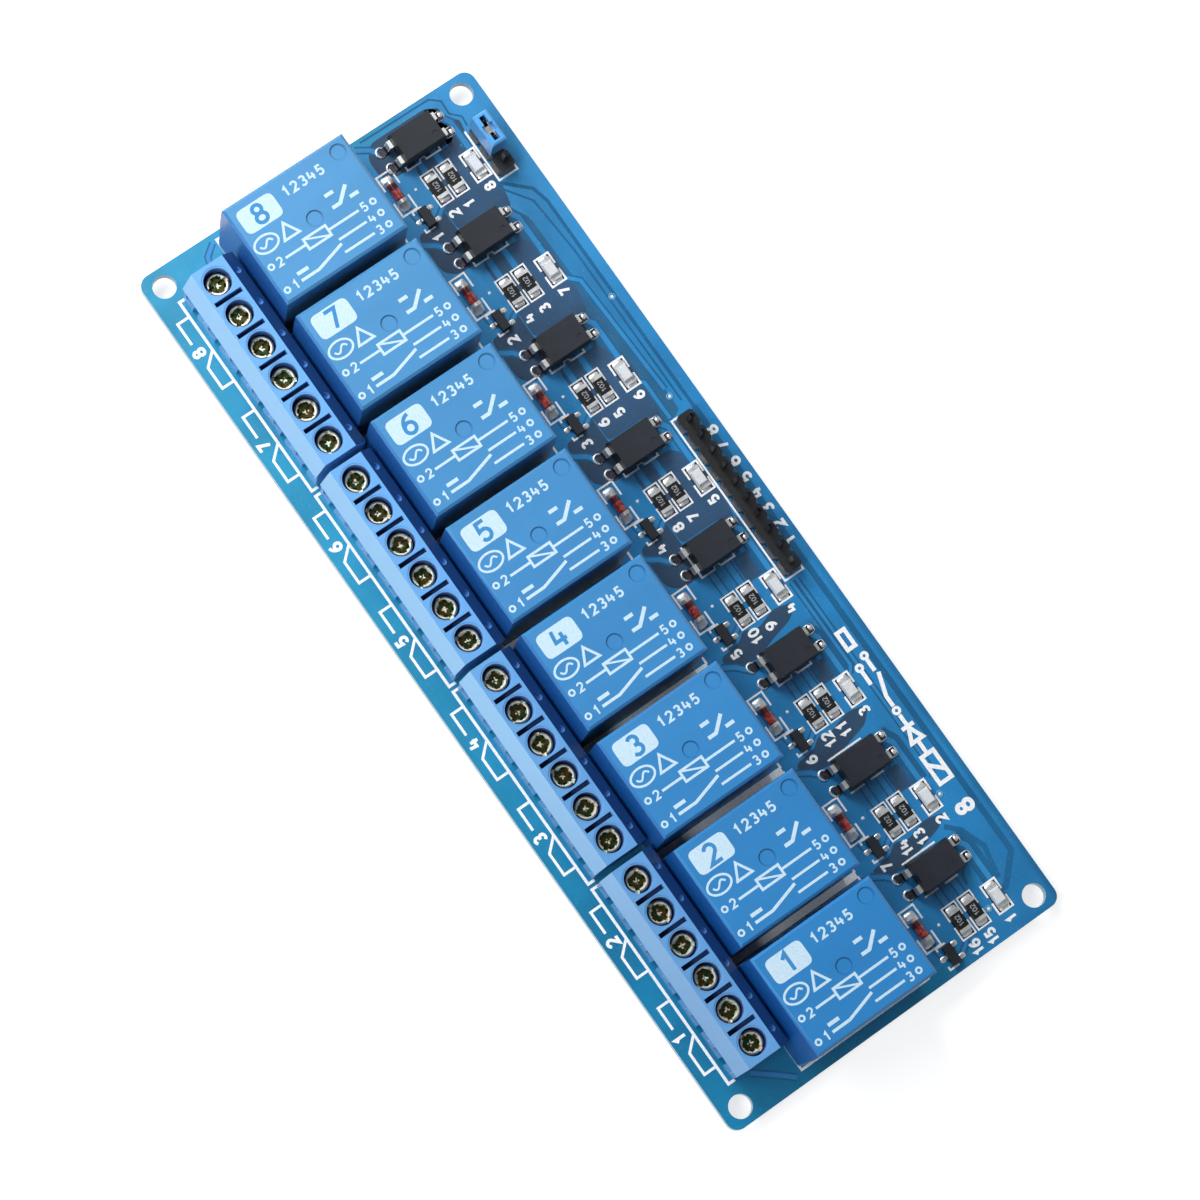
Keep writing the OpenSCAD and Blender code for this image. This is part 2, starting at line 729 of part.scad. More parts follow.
module indicator_lenses() {
    lens_draft = 0.12;
    lens_l = chip_l - 2 * chip_cap_l;
    color("white") at_indicators() translate([0, 0, indicator_base_h])
        two_way(drafted(lens_l, lens_h, lens_draft, lens_draft),
                drafted(chip_w, lens_h, lens_draft, lens_draft), lens_l, chip_w);
}

// ---- pin headers ----

module header_strip(x, count) {
    cell_chamfer = 0.4;
    half = strip_w / 2;
    cell = [[half - cell_chamfer, -half], [half, cell_chamfer - half],
            [half, half - cell_chamfer], [half - cell_chamfer, half]];
    join_w = (count - 1) * header_pitch + strip_w - 2 * cell_chamfer;
    color("dimgray") difference() {
        upright(board_t, board_t + strip_w) {
            at_header_pins(x, count)
                polygon(concat(cell, [for (p = cell) -p]));
            translate([x, header_y]) square([join_w, strip_w - 2 * cell_chamfer], center = true);
        }
        header_pins(x, count);
    }
}

// Square pins with a taper at both ends
module header_pins(x, count) {
    half = pin_w / 2;
    tip = half * 0.5;
    low = -lead_tail;
    high = board_t + pin_h;
    side = [[-tip, low], [tip, low], [half, low + pin_tip_l], [half, high - pin_tip_l],
            [tip, high], [-tip, high], [-half, high - pin_tip_l], [-half, low + pin_tip_l]];
    color("darkslategray") at_header_pins(x, count) two_way(side, side, pin_w, pin_w);
}

// The jumper cap stands on the strip over the two outer pins at its -X end
jumper_x = power_header_x - header_pitch / 2;
jumper_z = board_t + strip_w;
jumper_w = 2 * header_pitch - 2 * jumper_end_gap;
jumper_cavity_l = pin_w + 2 * clip_leaf_t;
jumper_l = jumper_cavity_l + 2 * jumper_side_wall;

module jumper_cap() {
    top_t = 0.8;
    edge = 0.25;
    color("deepskyblue") translate([jumper_x, header_y, jumper_z]) difference() {
        two_way(drafted(jumper_w, jumper_h, 0.05, edge), drafted(jumper_l, jumper_h, 0.05, edge),
                jumper_w, jumper_l);
        upright(-overcut, jumper_h - top_t)
            square([jumper_w - 2 * jumper_end_wall, jumper_cavity_l], center = true);
        upright(jumper_h - top_t - overcut, jumper_h + overcut)
            union() {
                square([jumper_slot_l, pin_w + 0.2], center = true);
                square([jumper_window_l, jumper_window_w], center = true);
            }
    }
}

// Two leaves and the web that joins them between the pins
module jumper_clip() {
    clip_l = header_pitch + pin_w + 2 * clip_overhang;
    clip_lift = 0.2;
    clip_drop = 1.2;
    color("silver") translate([jumper_x, header_y, jumper_z]) upright(clip_lift, clip_lift + jumper_h - clip_drop) {
        for (s = [-1, 1])
            translate([0, s * (pin_w + clip_leaf_t) / 2])
                square([clip_l, clip_leaf_t], center = true);
        square([clip_web, pin_w + clip_leaf_t], center = true);
    }
}

module input_header() { header_strip(input_header_x, input_pins_n); }
module input_header_pins() { header_pins(input_header_x, input_pins_n); }
module power_header() { header_strip(power_header_x, power_pins_n); }
module power_header_pins() { header_pins(power_header_x, power_pins_n); }

board();
for (c = [1:channels]) {
    relay_cover(c);
    relay_base(c);
    optocoupler(c);
}
relay_pins();
for (b = [1:blocks]) {
    terminal_block(b);
    terminal_screws(b);
    clamp_cages(b);
    terminal_contacts(b);
}
optocoupler_leads();
transistors();
transistor_leads();
diode_glass();
diode_caps();
resistors();
resistor_caps();
indicator_bases();
indicator_caps();
indicator_lenses();
input_header();
input_header_pins();
power_header();
power_header_pins();
jumper_cap();
jumper_clip();
solder_joints();
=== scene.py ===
"""Finish of an eight-channel relay module: lacquer, copper, print, plastics, metal and solder.

The CAD nodes keep their shapes, a few with softened edges, and get their materials here. Thin
print, tracks, solder and markings are added as surfaces of their own. Lengths are millimetres
until a mesh is made. X runs along the board, Y from the screw terminals to the pin headers, Z up.
"""

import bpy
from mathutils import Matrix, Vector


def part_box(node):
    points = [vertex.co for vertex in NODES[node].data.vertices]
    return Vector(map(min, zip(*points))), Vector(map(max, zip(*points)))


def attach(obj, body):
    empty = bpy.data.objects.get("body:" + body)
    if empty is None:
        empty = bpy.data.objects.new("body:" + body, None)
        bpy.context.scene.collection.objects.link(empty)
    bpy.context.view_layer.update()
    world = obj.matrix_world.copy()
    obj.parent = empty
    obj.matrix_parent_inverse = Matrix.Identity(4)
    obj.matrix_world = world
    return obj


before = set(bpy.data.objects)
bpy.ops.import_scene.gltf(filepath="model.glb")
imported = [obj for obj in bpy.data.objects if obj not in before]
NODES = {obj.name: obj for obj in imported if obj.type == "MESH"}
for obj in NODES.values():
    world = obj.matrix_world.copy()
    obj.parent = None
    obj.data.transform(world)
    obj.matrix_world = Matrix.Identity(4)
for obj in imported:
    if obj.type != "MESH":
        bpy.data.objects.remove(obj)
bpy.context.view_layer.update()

import math
from types import SimpleNamespace

import bpy
import numpy as np
from mathutils import Matrix, Vector

bl_info = {
    "name": "Relay Board Finish",
    "version": (1, 0, 0),
    "blender": (4, 5, 0),
    "location": "View3D > Sidebar > Relay board",
    "description": "Adds print, copper, solder and materials to the model of a relay board",
    "category": "Object",
}

MM = 0.001
CHANNELS = range(8, 0, -1)
BLOCKS = range(4, 0, -1)
SIDES = (-1, 1)
BLACK = (0, 0, 0)
WHITE = (1, 1, 1)


def shade(red, green, blue):
    """Linear colour of a screen colour given as three numbers up to 255."""
    value = np.array([red, green, blue]) / 255
    linear = np.where(value <= 0.04045, value / 12.92, ((value + 0.055) / 1.055) ** 2.4)
    return tuple(float(part) for part in linear)


def tint(colour, *share, add=0.0):
    """A colour times one share, or each of its parts times its own share."""
    return tuple(float(part) for part in np.array(colour) * share + add)


def numbered(stem, order):
    """Names of the nodes that share a stem, in the order of their numbers."""
    return [f"{stem}_{number}" for number in order]


# ---- places, read from the CAD nodes ----


def span(node):
    """Lowest and highest corner of a node."""
    low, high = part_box(node)
    return np.array(low) / MM, np.array(high) / MM


def columns(node, gap=3.0):
    """Boxes of a node's bodies along the board: its points part wherever X jumps by over gap."""
    mesh = NODES[node].data
    points = np.empty(len(mesh.vertices) * 3, np.float32)
    mesh.vertices.foreach_get("co", points)
    points = points.reshape(-1, 3) / MM
    points = points[np.argsort(points[:, 0])]
    groups = np.split(points, np.flatnonzero(np.diff(points[:, 0]) > gap) + 1)
    return [(group.min(0), group.max(0)) for group in groups]


def middle(box):
    """Middle of a box, as a pair of corners."""
    return (box[0] + box[1]) / 2


BOARD_LOW, BOARD_HIGH = span("board")
TOP = BOARD_HIGH[2]
COVERS = numbered("relay_cover", CHANNELS)
HOUSINGS = numbered("terminal_block", BLOCKS)
RELAYS = [span(name) for name in COVERS]
COUPLERS = [span(name) for name in numbered("optocoupler", CHANNELS)]
BLOCK_BOXES = [span(name) for name in HOUSINGS]
LIGHTS = columns("indicator_bases")
RESISTORS = columns("resistors")
DIODES = columns("diode_glass")
TRANSISTORS = columns("transistors")
RELAY_STEP = middle(RELAYS[1])[0] - middle(RELAYS[0])[0]
DRIVER_STEP = middle(DIODES[1])[0] - middle(DIODES[0])[0]
POLE_STEP = 5.0
HEADER_STEP = 2.54
CHIP_ROW = 0.8


def pole_x(block, pole):
    """Place along the board of a pole, counted from 0 at the block's low end."""
    return middle(BLOCK_BOXES[block])[0] + (pole - 2.5) * POLE_STEP


def driver(place):
    """Where the parts of one driver stand: boxes, middles, and the two rows of its resistors."""
    low, high = COUPLERS[place]
    chips = RESISTORS[place]
    return SimpleNamespace(
        low=low, high=high, x=middle((low, high))[0], y=middle((low, high))[1],
        chips=chips, chip_x=middle(chips)[0], rows=(chips[1][1] - CHIP_ROW, chips[0][1] + CHIP_ROW),
        light=middle(LIGHTS[place]), diode=middle(DIODES[place]), transistor=middle(TRANSISTORS[place]))


DRIVERS = [driver(place) for place in range(len(COUPLERS))]


# ---- surfaces ----


def add(name, data):
    """A new object in the scene."""
    made = bpy.data.objects.new(name, data)
    bpy.context.scene.collection.objects.link(made)
    return made


def arc(x, y, reach_x, reach_y, start, end, count=10):
    """Points on an ellipse between two angles in degrees."""
    angle = np.radians(np.linspace(start, end, count))
    return np.c_[x + reach_x * np.cos(angle), y + reach_y * np.sin(angle)]


def round_corners(outline, radius, count=5):
    """A closed outline whose corners become quadratic curves that start radius away from them."""
    outline = np.asarray(outline, float)
    back = np.roll(outline, 1, 0) - outline
    ahead = np.roll(outline, -1, 0) - outline
    start = outline + back * np.minimum(0.45, radius / np.linalg.norm(back, axis=1))[:, None]
    end = outline + ahead * np.minimum(0.45, radius / np.linalg.norm(ahead, axis=1))[:, None]
    share = np.linspace(0, 1, count)[None, :, None]
    curve = (1 - share) ** 2 * start[:, None] + share**2 * end[:, None]
    curve += 2 * share * (1 - share) * outline[:, None]
    return curve.reshape(-1, 2)


def rectangle(low_x, low_y, high_x, high_y):
    """Corners of an upright rectangle, counter-clockwise."""
    return [(low_x, low_y), (high_x, low_y), (high_x, high_y), (low_x, high_y)]


def oval(x, y, reach_x, reach_y, count=18):
    """A closed stroke of a digit."""
    return arc(x, y, reach_x, reach_y, 0, 340, count), True


def stroke(*parts):
    """An open stroke of a digit, through points and arcs in turn."""
    return np.vstack(parts), False


# Strokes of the ten digits, each in a box 0.6 wide and 1 high
DIGITS = (
    [oval(0.3, 0.5, 0.3, 0.5)],
    [stroke((0.1, 0.76), (0.36, 1.0), (0.36, 0.0))],
    [stroke(arc(0.3, 0.71, 0.29, 0.29, 165, -35, 9), (0.0, 0.0), (0.62, 0.0))],
    [stroke(arc(0.29, 0.75, 0.26, 0.25, 150, -98, 10)), stroke(arc(0.29, 0.26, 0.3, 0.26, 98, -150, 11))],
    [stroke((0.08, 1.0), (0.0, 0.36), (0.66, 0.36)), stroke((0.46, 0.72), (0.46, 0.0))],
    [stroke((0.55, 1.0), (0.1, 1.0), (0.06, 0.54), arc(0.29, 0.3, 0.3, 0.3, 110, -150, 10))],
    [oval(0.3, 0.3, 0.3, 0.3), stroke(arc(0.56, 0.3, 0.56, 0.7, 92, 178, 8))],
    [stroke((0.0, 1.0), (0.6, 1.0), (0.2, 0.0))],
    [oval(0.3, 0.76, 0.25, 0.24, 16), oval(0.3, 0.26, 0.3, 0.26, 16)],
    [oval(0.3, 0.7, 0.3, 0.3), stroke(arc(0.04, 0.7, 0.56, 0.7, -88, -2, 8))],
)
DIGIT_WIDE = 0.6
DIGIT_STEP = 0.85


class Shell:
    """Closed surfaces gathered into one mesh, each an array of rows of points round a profile.

    Its bands and plates lie between the heights low and high.
    """

    def __init__(self, low=TOP, high=TOP):
        self.low = low
        self.high = high
        self.points = []
        self.faces = []
        self.count = 0
        self.bands = 0

    def surface(self, rows, joined=False):
        """Adds rows by columns of points. Columns close on themselves, rows close or get caps."""
        rows = np.asarray(rows, float)
        size, around = rows.shape[:2]
        index = self.count + np.arange(size * around).reshape(size, around)
        here = index if joined else index[:-1]
        ahead = np.roll(index, -1, 0) if joined else index[1:]
        quads = np.stack([here, np.roll(here, -1, 1), np.roll(ahead, -1, 1), ahead], -1)
        self.faces += quads.reshape(-1, 4).tolist()
        if not joined:
            self.faces += [index[0, ::-1].tolist(), index[-1].tolist()]
        self.points.append(rows.reshape(-1, 3))
        self.count += size * around

    def band(self, path, width, joined=False, lift=0.0, sink=0.0):
        """A flat band along path, mitred: sides stand off by half the width over cos(half the turn).

        Neighbouring bands differ a little in height, so that none lie in one plane where they cross.
        """
        path = np.asarray(path, float)
        step = np.roll(path, -1, 0) - path
        if not joined:
            step[-1] = step[-2]
        step /= np.linalg.norm(step, axis=1, keepdims=True)
        before = np.roll(step, 1, 0)
        if not joined:
            before[0] = step[0]
        turn = before + step
        turn /= np.linalg.norm(turn, axis=1, keepdims=True)
        reach = width / 2 / np.maximum(np.sum(turn * step, axis=1), 0.35)
        side = np.c_[-turn[:, 1], turn[:, 0]] * reach[:, None]
        left = path + side
        right = path - side
        self.bands += 1
        floor = np.full(len(path), self.low - sink)
        roof = np.full(len(path), self.high + lift + 0.0012 * (self.bands % 9))
        rows = [np.c_[right, floor], np.c_[left, floor], np.c_[left, roof], np.c_[right, roof]]
        self.surface(np.stack(rows, axis=1), joined)

    def plate(self, outline):
        """A flat plate: its outline at the low height and again at the high one, both capped."""
        outline = np.asarray(outline, float)
        ahead = np.roll(outline, -1, 0)
        area = np.sum(outline[:, 0] * ahead[:, 1] - ahead[:, 0] * outline[:, 1])
        if area < 0:
            outline = outline[::-1]
        ends = [np.full(len(outline), height) for height in (self.low, self.high)]
        self.surface(np.stack([np.c_[outline, height] for height in ends]))

    def dome(self, at, reach, height, power=2.0, rows=6, around=20):
        """A low dome on a superellipse: radius times cos(u), height times sin(u), u up to 86 deg."""
        angle = np.linspace(0, 2 * np.pi, around, endpoint=False)
        rise = np.radians(np.linspace(0, 86, rows))[:, None]
        cos, sin = np.cos(angle), np.sin(angle)
        x = at[0] + np.cos(rise) * reach[0] * np.sign(cos) * np.abs(cos) ** (2 / power)
        y = at[1] + np.cos(rise) * reach[1] * np.sign(sin) * np.abs(sin) ** (2 / power)
        z = self.low + np.sin(rise) * height * np.ones_like(angle)
        self.surface(np.stack([x, y, z], -1))

    def tube(self, path, radius, around=8):
        """A round bar along a level path: its section is a circle square to the path."""
        path = np.asarray(path, float)
        step = np.gradient(path[:, :2], axis=0)
        step /= np.linalg.norm(step, axis=1, keepdims=True)
        left = np.c_[-step[:, 1], step[:, 0], np.zeros(len(step))][:, None, :]
        angle = np.linspace(0, 2 * np.pi, around, endpoint=False)[None, :, None]
        section = np.cos(angle) * left + np.sin(angle) * np.array([0.0, 0.0, 1.0])
        self.surface(path[:, None, :] + radius[:, None, None] * section)

    def ring(self, at, radius, width, around=28):
        """A flat ring: a band along a circle."""
        self.band(arc(*at, radius, radius, 0, 360, around + 1)[:-1], width, True)

    def number(self, value, at, height, line, turn=180):
        """A plain number centred at a point: its strokes are scaled, turned and laid down as bands."""
        text = str(value)
        wide = DIGIT_WIDE + DIGIT_STEP * (len(text) - 1)
        spin = math.radians(turn)
        matrix = np.array([[math.cos(spin), math.sin(spin)], [-math.sin(spin), math.cos(spin)]])
        for place, digit in enumerate(text):
            for path, joined in DIGITS[int(digit)]:
                local = path + [DIGIT_STEP * place - wide / 2, -0.5]
                self.band(local * height @ matrix + at, line, joined)

    def build(self, name, finish, smooth=False):
        """The surfaces as an object of the scene."""
        mesh = bpy.data.meshes.new(name)
        mesh.from_pydata((np.concatenate(self.points) * MM).tolist(), [], self.faces)
        mesh.polygons.foreach_set("use_smooth", np.full(len(mesh.polygons), smooth))
        mesh.update()
        mesh.validate()
        mesh.materials.append(finish)
        return add(name, mesh)

    def make(self, name, finish, slot="circuit_board", smooth=False):
        """The finished piece, riding on the board."""
        piece = self.build(name, finish, smooth)
        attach(piece, "root")


# ---- shader helpers ----


def joining(operation, turned=False):
    """A method that joins an output and a second value through a Math node."""

    def join(self, other):
        return self.net.maths(operation, *((other, self) if turned else (self, other)))

    return join


class Wire:
    """An output socket. Sums and products with it add Math nodes."""

    def __init__(self, net, socket):
        self.net = net
        self.socket = socket

    __add__ = __radd__ = joining("ADD")
    __sub__ = joining("SUBTRACT")
    __rsub__ = joining("SUBTRACT", True)
    __mul__ = __rmul__ = joining("MULTIPLY")
    __truediv__ = joining("DIVIDE")


class Net:
    """One material's node tree, with a Principled shader at its end."""

    def __init__(self, name, tree=None):
        if tree is None:
            self.material = bpy.data.materials.new(name)
            self.material.use_nodes = True
            tree = self.material.node_tree
        self.tree = tree
        self.tree.nodes.clear()
        self.place = self.node("TexCoord", output="Object")

    def node(self, kind, settings=None, inputs=None, output=0):
        """Adds a node: its settings first, then the values or links of its sockets."""
        made = self.tree.nodes.new("ShaderNode" + kind)
        for key, value in (settings or {}).items():
            setattr(made, key, value)
        for key, value in (inputs or {}).items():
            if isinstance(value, Wire):
                self.tree.links.new(value.socket, made.inputs[key])
            else:
                made.inputs[key].default_value = value
        return Wire(self, made.outputs[output]) if made.outputs else None

    def maths(self, operation, first, second=0.0):
        """A Math node."""
        return self.node("Math", {"operation": operation}, {0: first, 1: second})

    def axes(self):
        """The three coordinates of the place, in millimetres."""
        return [self.node("SeparateXYZ", inputs={0: self.place}, output=name) / MM for name in "XYZ"]

    def facing(self, name):
        """How far the surface faces along one axis."""
        normal = self.node("TexCoord", output="Normal")
        return self.node("SeparateXYZ", inputs={0: normal}, output=name)

    def repeat(self, value, step):
        """A value that starts from 0 again after each step."""
        return self.maths("FRACT", value / step) * step

    def radius(self, x, y):
        """Distance from the point where both are 0."""
        return self.maths("SQRT", x * x + y * y)

    def mask(self, value, low, high):
        """0 below low and 1 above high, with a smooth step between."""
        ends = {"Value": value, "From Min": low, "From Max": high}
        return self.node("MapRange", {"interpolation_type": "SMOOTHSTEP"}, ends)

    def within(self, value, low, full, fade, gone):
        """1 from full to fade, and 0 below low and above gone."""
        return self.mask(value, low, full) * (1 - self.mask(value, fade, gone))

    def noise(self, size, detail=3.0, roughness=0.5, stretch=None):
        """Fractal noise whose grains are about size millimetres."""
        at = self.place
        if stretch:
            at = self.node("VectorMath", {"operation": "MULTIPLY"}, {0: at, 1: stretch})
        ends = {"Vector": at, "Scale": 1 / (size * MM), "Detail": detail, "Roughness": roughness}
        return self.node("TexNoise", inputs=ends, output="Fac")

    def patches(self, size, detail, low, high):
        """Patches of noise, 0 below low and 1 above high."""
        return self.mask(self.noise(size, detail), low, high)

    def flow(self, size):
        """Slow drift along the flow of a moulding."""
        return self.mask(self.noise(size, 3, stretch=(1, 0.4, 1)), 0.3, 0.7)

    def mix(self, share, first, second):
        """A mix of two colours."""
        ends = {0: share}
        for socket, colour in ((6, first), (7, second)):
            ends[socket] = colour if isinstance(colour, Wire) else (*colour, 1)
        return self.node("Mix", {"data_type": "RGBA"}, ends, output=2)

    def bump(self, height, distance, strength=1.0, below=None):
        """A normal bent by a height that spans distance millimetres."""
        ends = {"Height": height, "Distance": distance * MM, "Strength": strength}
        if below:
            ends["Normal"] = below
        return self.node("Bump", inputs=ends)

    def finish(self, colour, roughness, normal=None, **constants):
        """Ends the tree in a Principled shader and gives back the material."""
        ends = {"Base Color": colour, "Roughness": roughness}
        if normal:
            ends["Normal"] = normal
        for key, value in constants.items():
            ends[key.replace("_", " ")] = value
        shader = self.node("BsdfPrincipled", inputs=ends)
        self.node("OutputMaterial", inputs={"Surface": shader})
        return self.material

    def moulded(self, colour, rough, grain, depth, haze=0.0):
        """Ends the tree as a moulded plastic: spark grain, and gloss that drifts."""
        sheen = rough + (self.noise(1.6, 3) - 0.5) * 0.12 + haze
        return self.finish(colour, sheen, self.bump(self.noise(grain, 3, 0.6), depth, 0.6))


def dress(nodes, material):
    """Puts a material on CAD nodes."""
    for name in nodes:
        slots = NODES[name].data.materials
        slots.clear()
        slots.append(material)


def soften(nodes, width, angle):
    """Rounds hard edges of CAD nodes: loose triangles are welded, then the edges bevelled."""
    for name in nodes:
        weld = NODES[name].modifiers.new("Weld", "WELD")
        weld.merge_threshold = 0.0005 * MM
        bevel = NODES[name].modifiers.new("Bevel", "BEVEL")
        bevel.width = width * MM
        bevel.segments = 2
        bevel.limit_method = "ANGLE"
        bevel.angle_limit = math.radians(angle)
        bevel.harden_normals = False


# ---- finishes ----


def lacquer(name, colour, bare=False, clear=None):
    """Glossy solder lacquer: cloudy colour, faint weave where bare, pale edges of the board.

    With clear, the two outer strips where light comes through the laminate take that colour. Painted
    light makes the lacquer paler toward -X, and the strips paler toward -X and darker toward +X.
    """
    net = Net(name)
    x, y = net.axes()[:2]
    body = colour
    if clear:
        front = 1 - net.mask(y, -15.0, -13.0)
        ends = net.mask(net.maths("ABSOLUTE", x), 65.2, 65.8) * (1 - net.mask(y, 4.0, 20.0))
        rim = net.mask(y, 25.4, 26.2) * net.mask(x, -20.0, 30.0)
        lane = net.within(y, 20.6, 21.8, 24.2, 25.2) * net.within(x, -52.0, -45.0, -30.0, -21.0)
        tip = net.mask(x, 48.0, 60.0) * net.mask(y, 18.0, 22.0)
        # Painted light: the lacquer is paler toward -X.
        body = net.mix(net.mask(x, -60.0, -10.0), tint(colour, 1.9, 1.22, 1.12), colour)
        body = net.mix(rim * 0.36, body, tint(colour, 0.3))
        body = net.mix(lane * 0.26 + tip * 0.3, body, tint(colour, 0.3))
        # Painted light: the clear strips are paler toward -X and darker toward +X.
        strip = net.mix(net.mask(x, -40.0, 50.0), tint(clear, 2.6, 1.04, 0.9), tint(clear, 0.7))
        body = net.mix(net.maths("MAXIMUM", front, ends), body, strip)
    deep = net.mix(0.22, body, BLACK)
    bright = net.mix(0.25, body, WHITE)
    body = net.mix(net.patches(9, 4, 0.3, 0.7), deep, body)
    body = net.mix(net.patches(0.35, 2, 0.62, 0.8) * 0.2, body, bright)
    if bare:
        weave = net.maths("SINE", x * 9.0) * net.maths("SINE", y * 9.0)
        body = net.mix((weave + 1) * 0.12, body, deep)
    level = net.mask(net.maths("ABSOLUTE", net.facing("Z")), 0.3, 0.6)
    fibres = net.noise(0.5, 2, stretch=(0.2, 0.2, 3))
    body = net.mix(level, net.mix(fibres, shade(150, 186, 200), shade(90, 140, 166)), body)
    rough = 0.24 + net.noise(2.5, 3) * 0.1
    return net.finish(
        body, rough, net.bump(net.noise(1.4, 2), 0.012, 0.5), Coat_Weight=0.1, Coat_Roughness=0.1)


def print_ink(name, colour, soft):
    """White ink: slightly uneven in cover and matt."""
    net = Net(name)
    body = net.mix(net.patches(0.25, 3, 0.34, 0.62), tint(colour, soft), colour)
    return net.finish(body, 0.55 + net.noise(0.4) * 0.15, net.bump(net.noise(0.12, 2), 0.008, 0.4))


def plastic(name, colour, rough, grain, depth=0.006, streak=6.0, tone=0.9):
    """Moulded plastic: spark grain, slow drift of tone along the flow, pale specks of dust."""
    net = Net(name)
    body = net.mix(net.flow(streak), tint(colour, tone), colour)
    body = net.mix(net.patches(grain * 0.8, 2, 0.66, 0.8) * 0.12, body, tint(colour, 0.4, add=0.35))
    return net.moulded(body, rough, grain, depth)


def metal(name, colour, rough, grain=0.3, tarnish=None, depth=0.006, share=1.0):
    """Plated metal: brushed grain, patches of tarnish, and frosted where share is low."""
    net = Net(name)
    body = net.mix(net.patches(0.8, 4, 0.42, 0.68), colour, tarnish or tint(colour, 0.72))
    normal = net.bump(net.noise(grain, 3, stretch=(1, 0.25, 1)), depth, 0.7)
    return net.finish(body, rough + net.noise(0.5, 3) * 0.16, normal, Metallic=share)


def screw_metal(block):
    """Passivated steel, gold and olive: painted highlights on the rim of a head, the ends of its slot and
    patches at its centre; painted shade makes it dark olive in its dish, slots and well.
    """
    net = Net(f"screw_steel_{block + 1}")
    x, y, z = net.axes()
    low, high = span(f"terminal_screws_{BLOCKS[block]}")
    top = high[2]
    along = net.repeat(x - (pole_x(block, 0) - POLE_STEP / 2), POLE_STEP) - POLE_STEP / 2
    across = y - middle((low, high))[1]
    radius = net.radius(along, across)
    turns = net.maths("ARCTAN2", across, along) * 4 + net.noise(4, 1) * 9
    edge = radius + net.maths("COSINE", turns) * 0.13 + (net.noise(0.7, 2) - 0.5) * 0.7
    # Painted highlights: the rim of the head, the slot ends (cage) and patches at the centre (heart) are
    # painted bright.
    rim = net.mask(z, top - 0.3, top - 0.16) * net.mask(edge, 0.98, 1.06)
    cage = (1 - net.mask(z, top - 0.5, top - 0.4)) * net.mask(radius, 1.15, 1.3)
    heart = (1 - net.mask(edge, 0.26, 0.36)) * net.patches(0.35, 2, 0.42, 0.5)
    bright = net.maths("MAXIMUM", net.maths("MAXIMUM", rim, cage), heart)
    stain = net.patches(0.9, 3, 0.38, 0.62)
    gold = net.mix(stain, shade(250, 236, 206), shade(232, 248, 230))
    # Painted shade: the olive plating is made dark wherever no highlight is painted.
    olive = net.mix(stain, shade(84, 70, 40), shade(48, 70, 36))
    rough = 0.26 + net.noise(0.4, 3) * 0.16 + bright * 0.12
    lines = net.bump(net.maths("SINE", radius * 42.0), 0.01, 0.3)
    normal = net.bump(net.noise(0.3, 3), 0.02, 0.5, lines)
    return net.finish(net.mix(bright, olive, gold), rough, normal, Metallic=1.0)


def lead_tin():
    """Tinned leads: painted bright at the shoulder as a highlight, and painted dark down at the foot as
    shade and a dark reflection.
    """
    net = Net("lead_tin")
    # Painted light: a near-white highlight above the shoulder, dark shade and reflection below it at the
    # foot.
    shoulder = net.mask(net.axes()[2], TOP + 0.75, TOP + 1.15)
    painted_dark_foot = net.mix(net.patches(0.4, 3, 0.4, 0.6), shade(84, 78, 86), shade(58, 62, 72))
    body = net.mix(shoulder, painted_dark_foot, shade(226, 228, 226))
    rough = 0.34 + net.noise(0.4, 3) * 0.14
    return net.finish(body, rough, net.bump(net.noise(0.2, 3), 0.01, 0.6), Metallic=1.0)


def cover_plastic():
    """Moulded cover: painted light makes it paler toward -X; painted shade darkens the rims of the two
    ejector marks, most on their -X side, the sides in the gaps between relays and the sides that face -Y.
    """
    net = Net("cover_plastic")
    x, y, z = net.axes()
    low, high = RELAYS[0]
    wide, long = high[0] - low[0], high[1] - low[1]
    top = high[2]
    inset = 2.1
    colour = colours().cover
    # Painted light: paler toward -X, deeper toward +X.
    ends = tint(colour, 2.3, 1.16, 1.0), tint(colour, 0.8, 0.88, 0.94)
    body = net.mix(net.mask(x, -66.0, 66.0), *ends)
    body = net.mix(net.flow(8) * 0.08, body, BLACK)
    # Painted shade on the rims of the ejector marks, strongest on their -X side.
    marks = []
    for mark_x, mark_y in ((wide / 2, long / 2), (inset, long - inset)):
        from_x = net.repeat(x - low[0], RELAY_STEP) - mark_x
        from_y = y - low[1] - mark_y
        rim = net.within(net.radius(from_x, from_y), 0.86, 0.97, 1.1, 1.16)
        marks.append(rim * (1 - net.mask(from_x - from_y * 0.2, -0.6, 0.9) * 0.7))
    dark = net.maths("MAXIMUM", *marks) * net.mask(z, top - 0.25, top - 0.2)
    body = net.mix(dark * 0.6, body, tint(colour, 0.3))
    # Painted shade on the sides that face the gaps between relays, deeper down.
    side = net.mask(net.maths("ABSOLUTE", net.facing("X")), 0.6, 0.8)
    gaps = net.within(x, low[0] + 1, low[0] + 2, 20.0, 24.0) * (1 - net.mask(z, top - 6, top - 0.5))
    body = net.mix(side * gaps * 0.6, body, tint(colour, 0.15))
    # Painted shade on the sides that face -Y.
    front = 1 - net.mask(net.facing("Y"), -0.8, -0.6)
    body = net.mix(front * 0.8, body, shade(0, 76, 158))
    return net.moulded(body, 0.36, 0.22, 0.005)


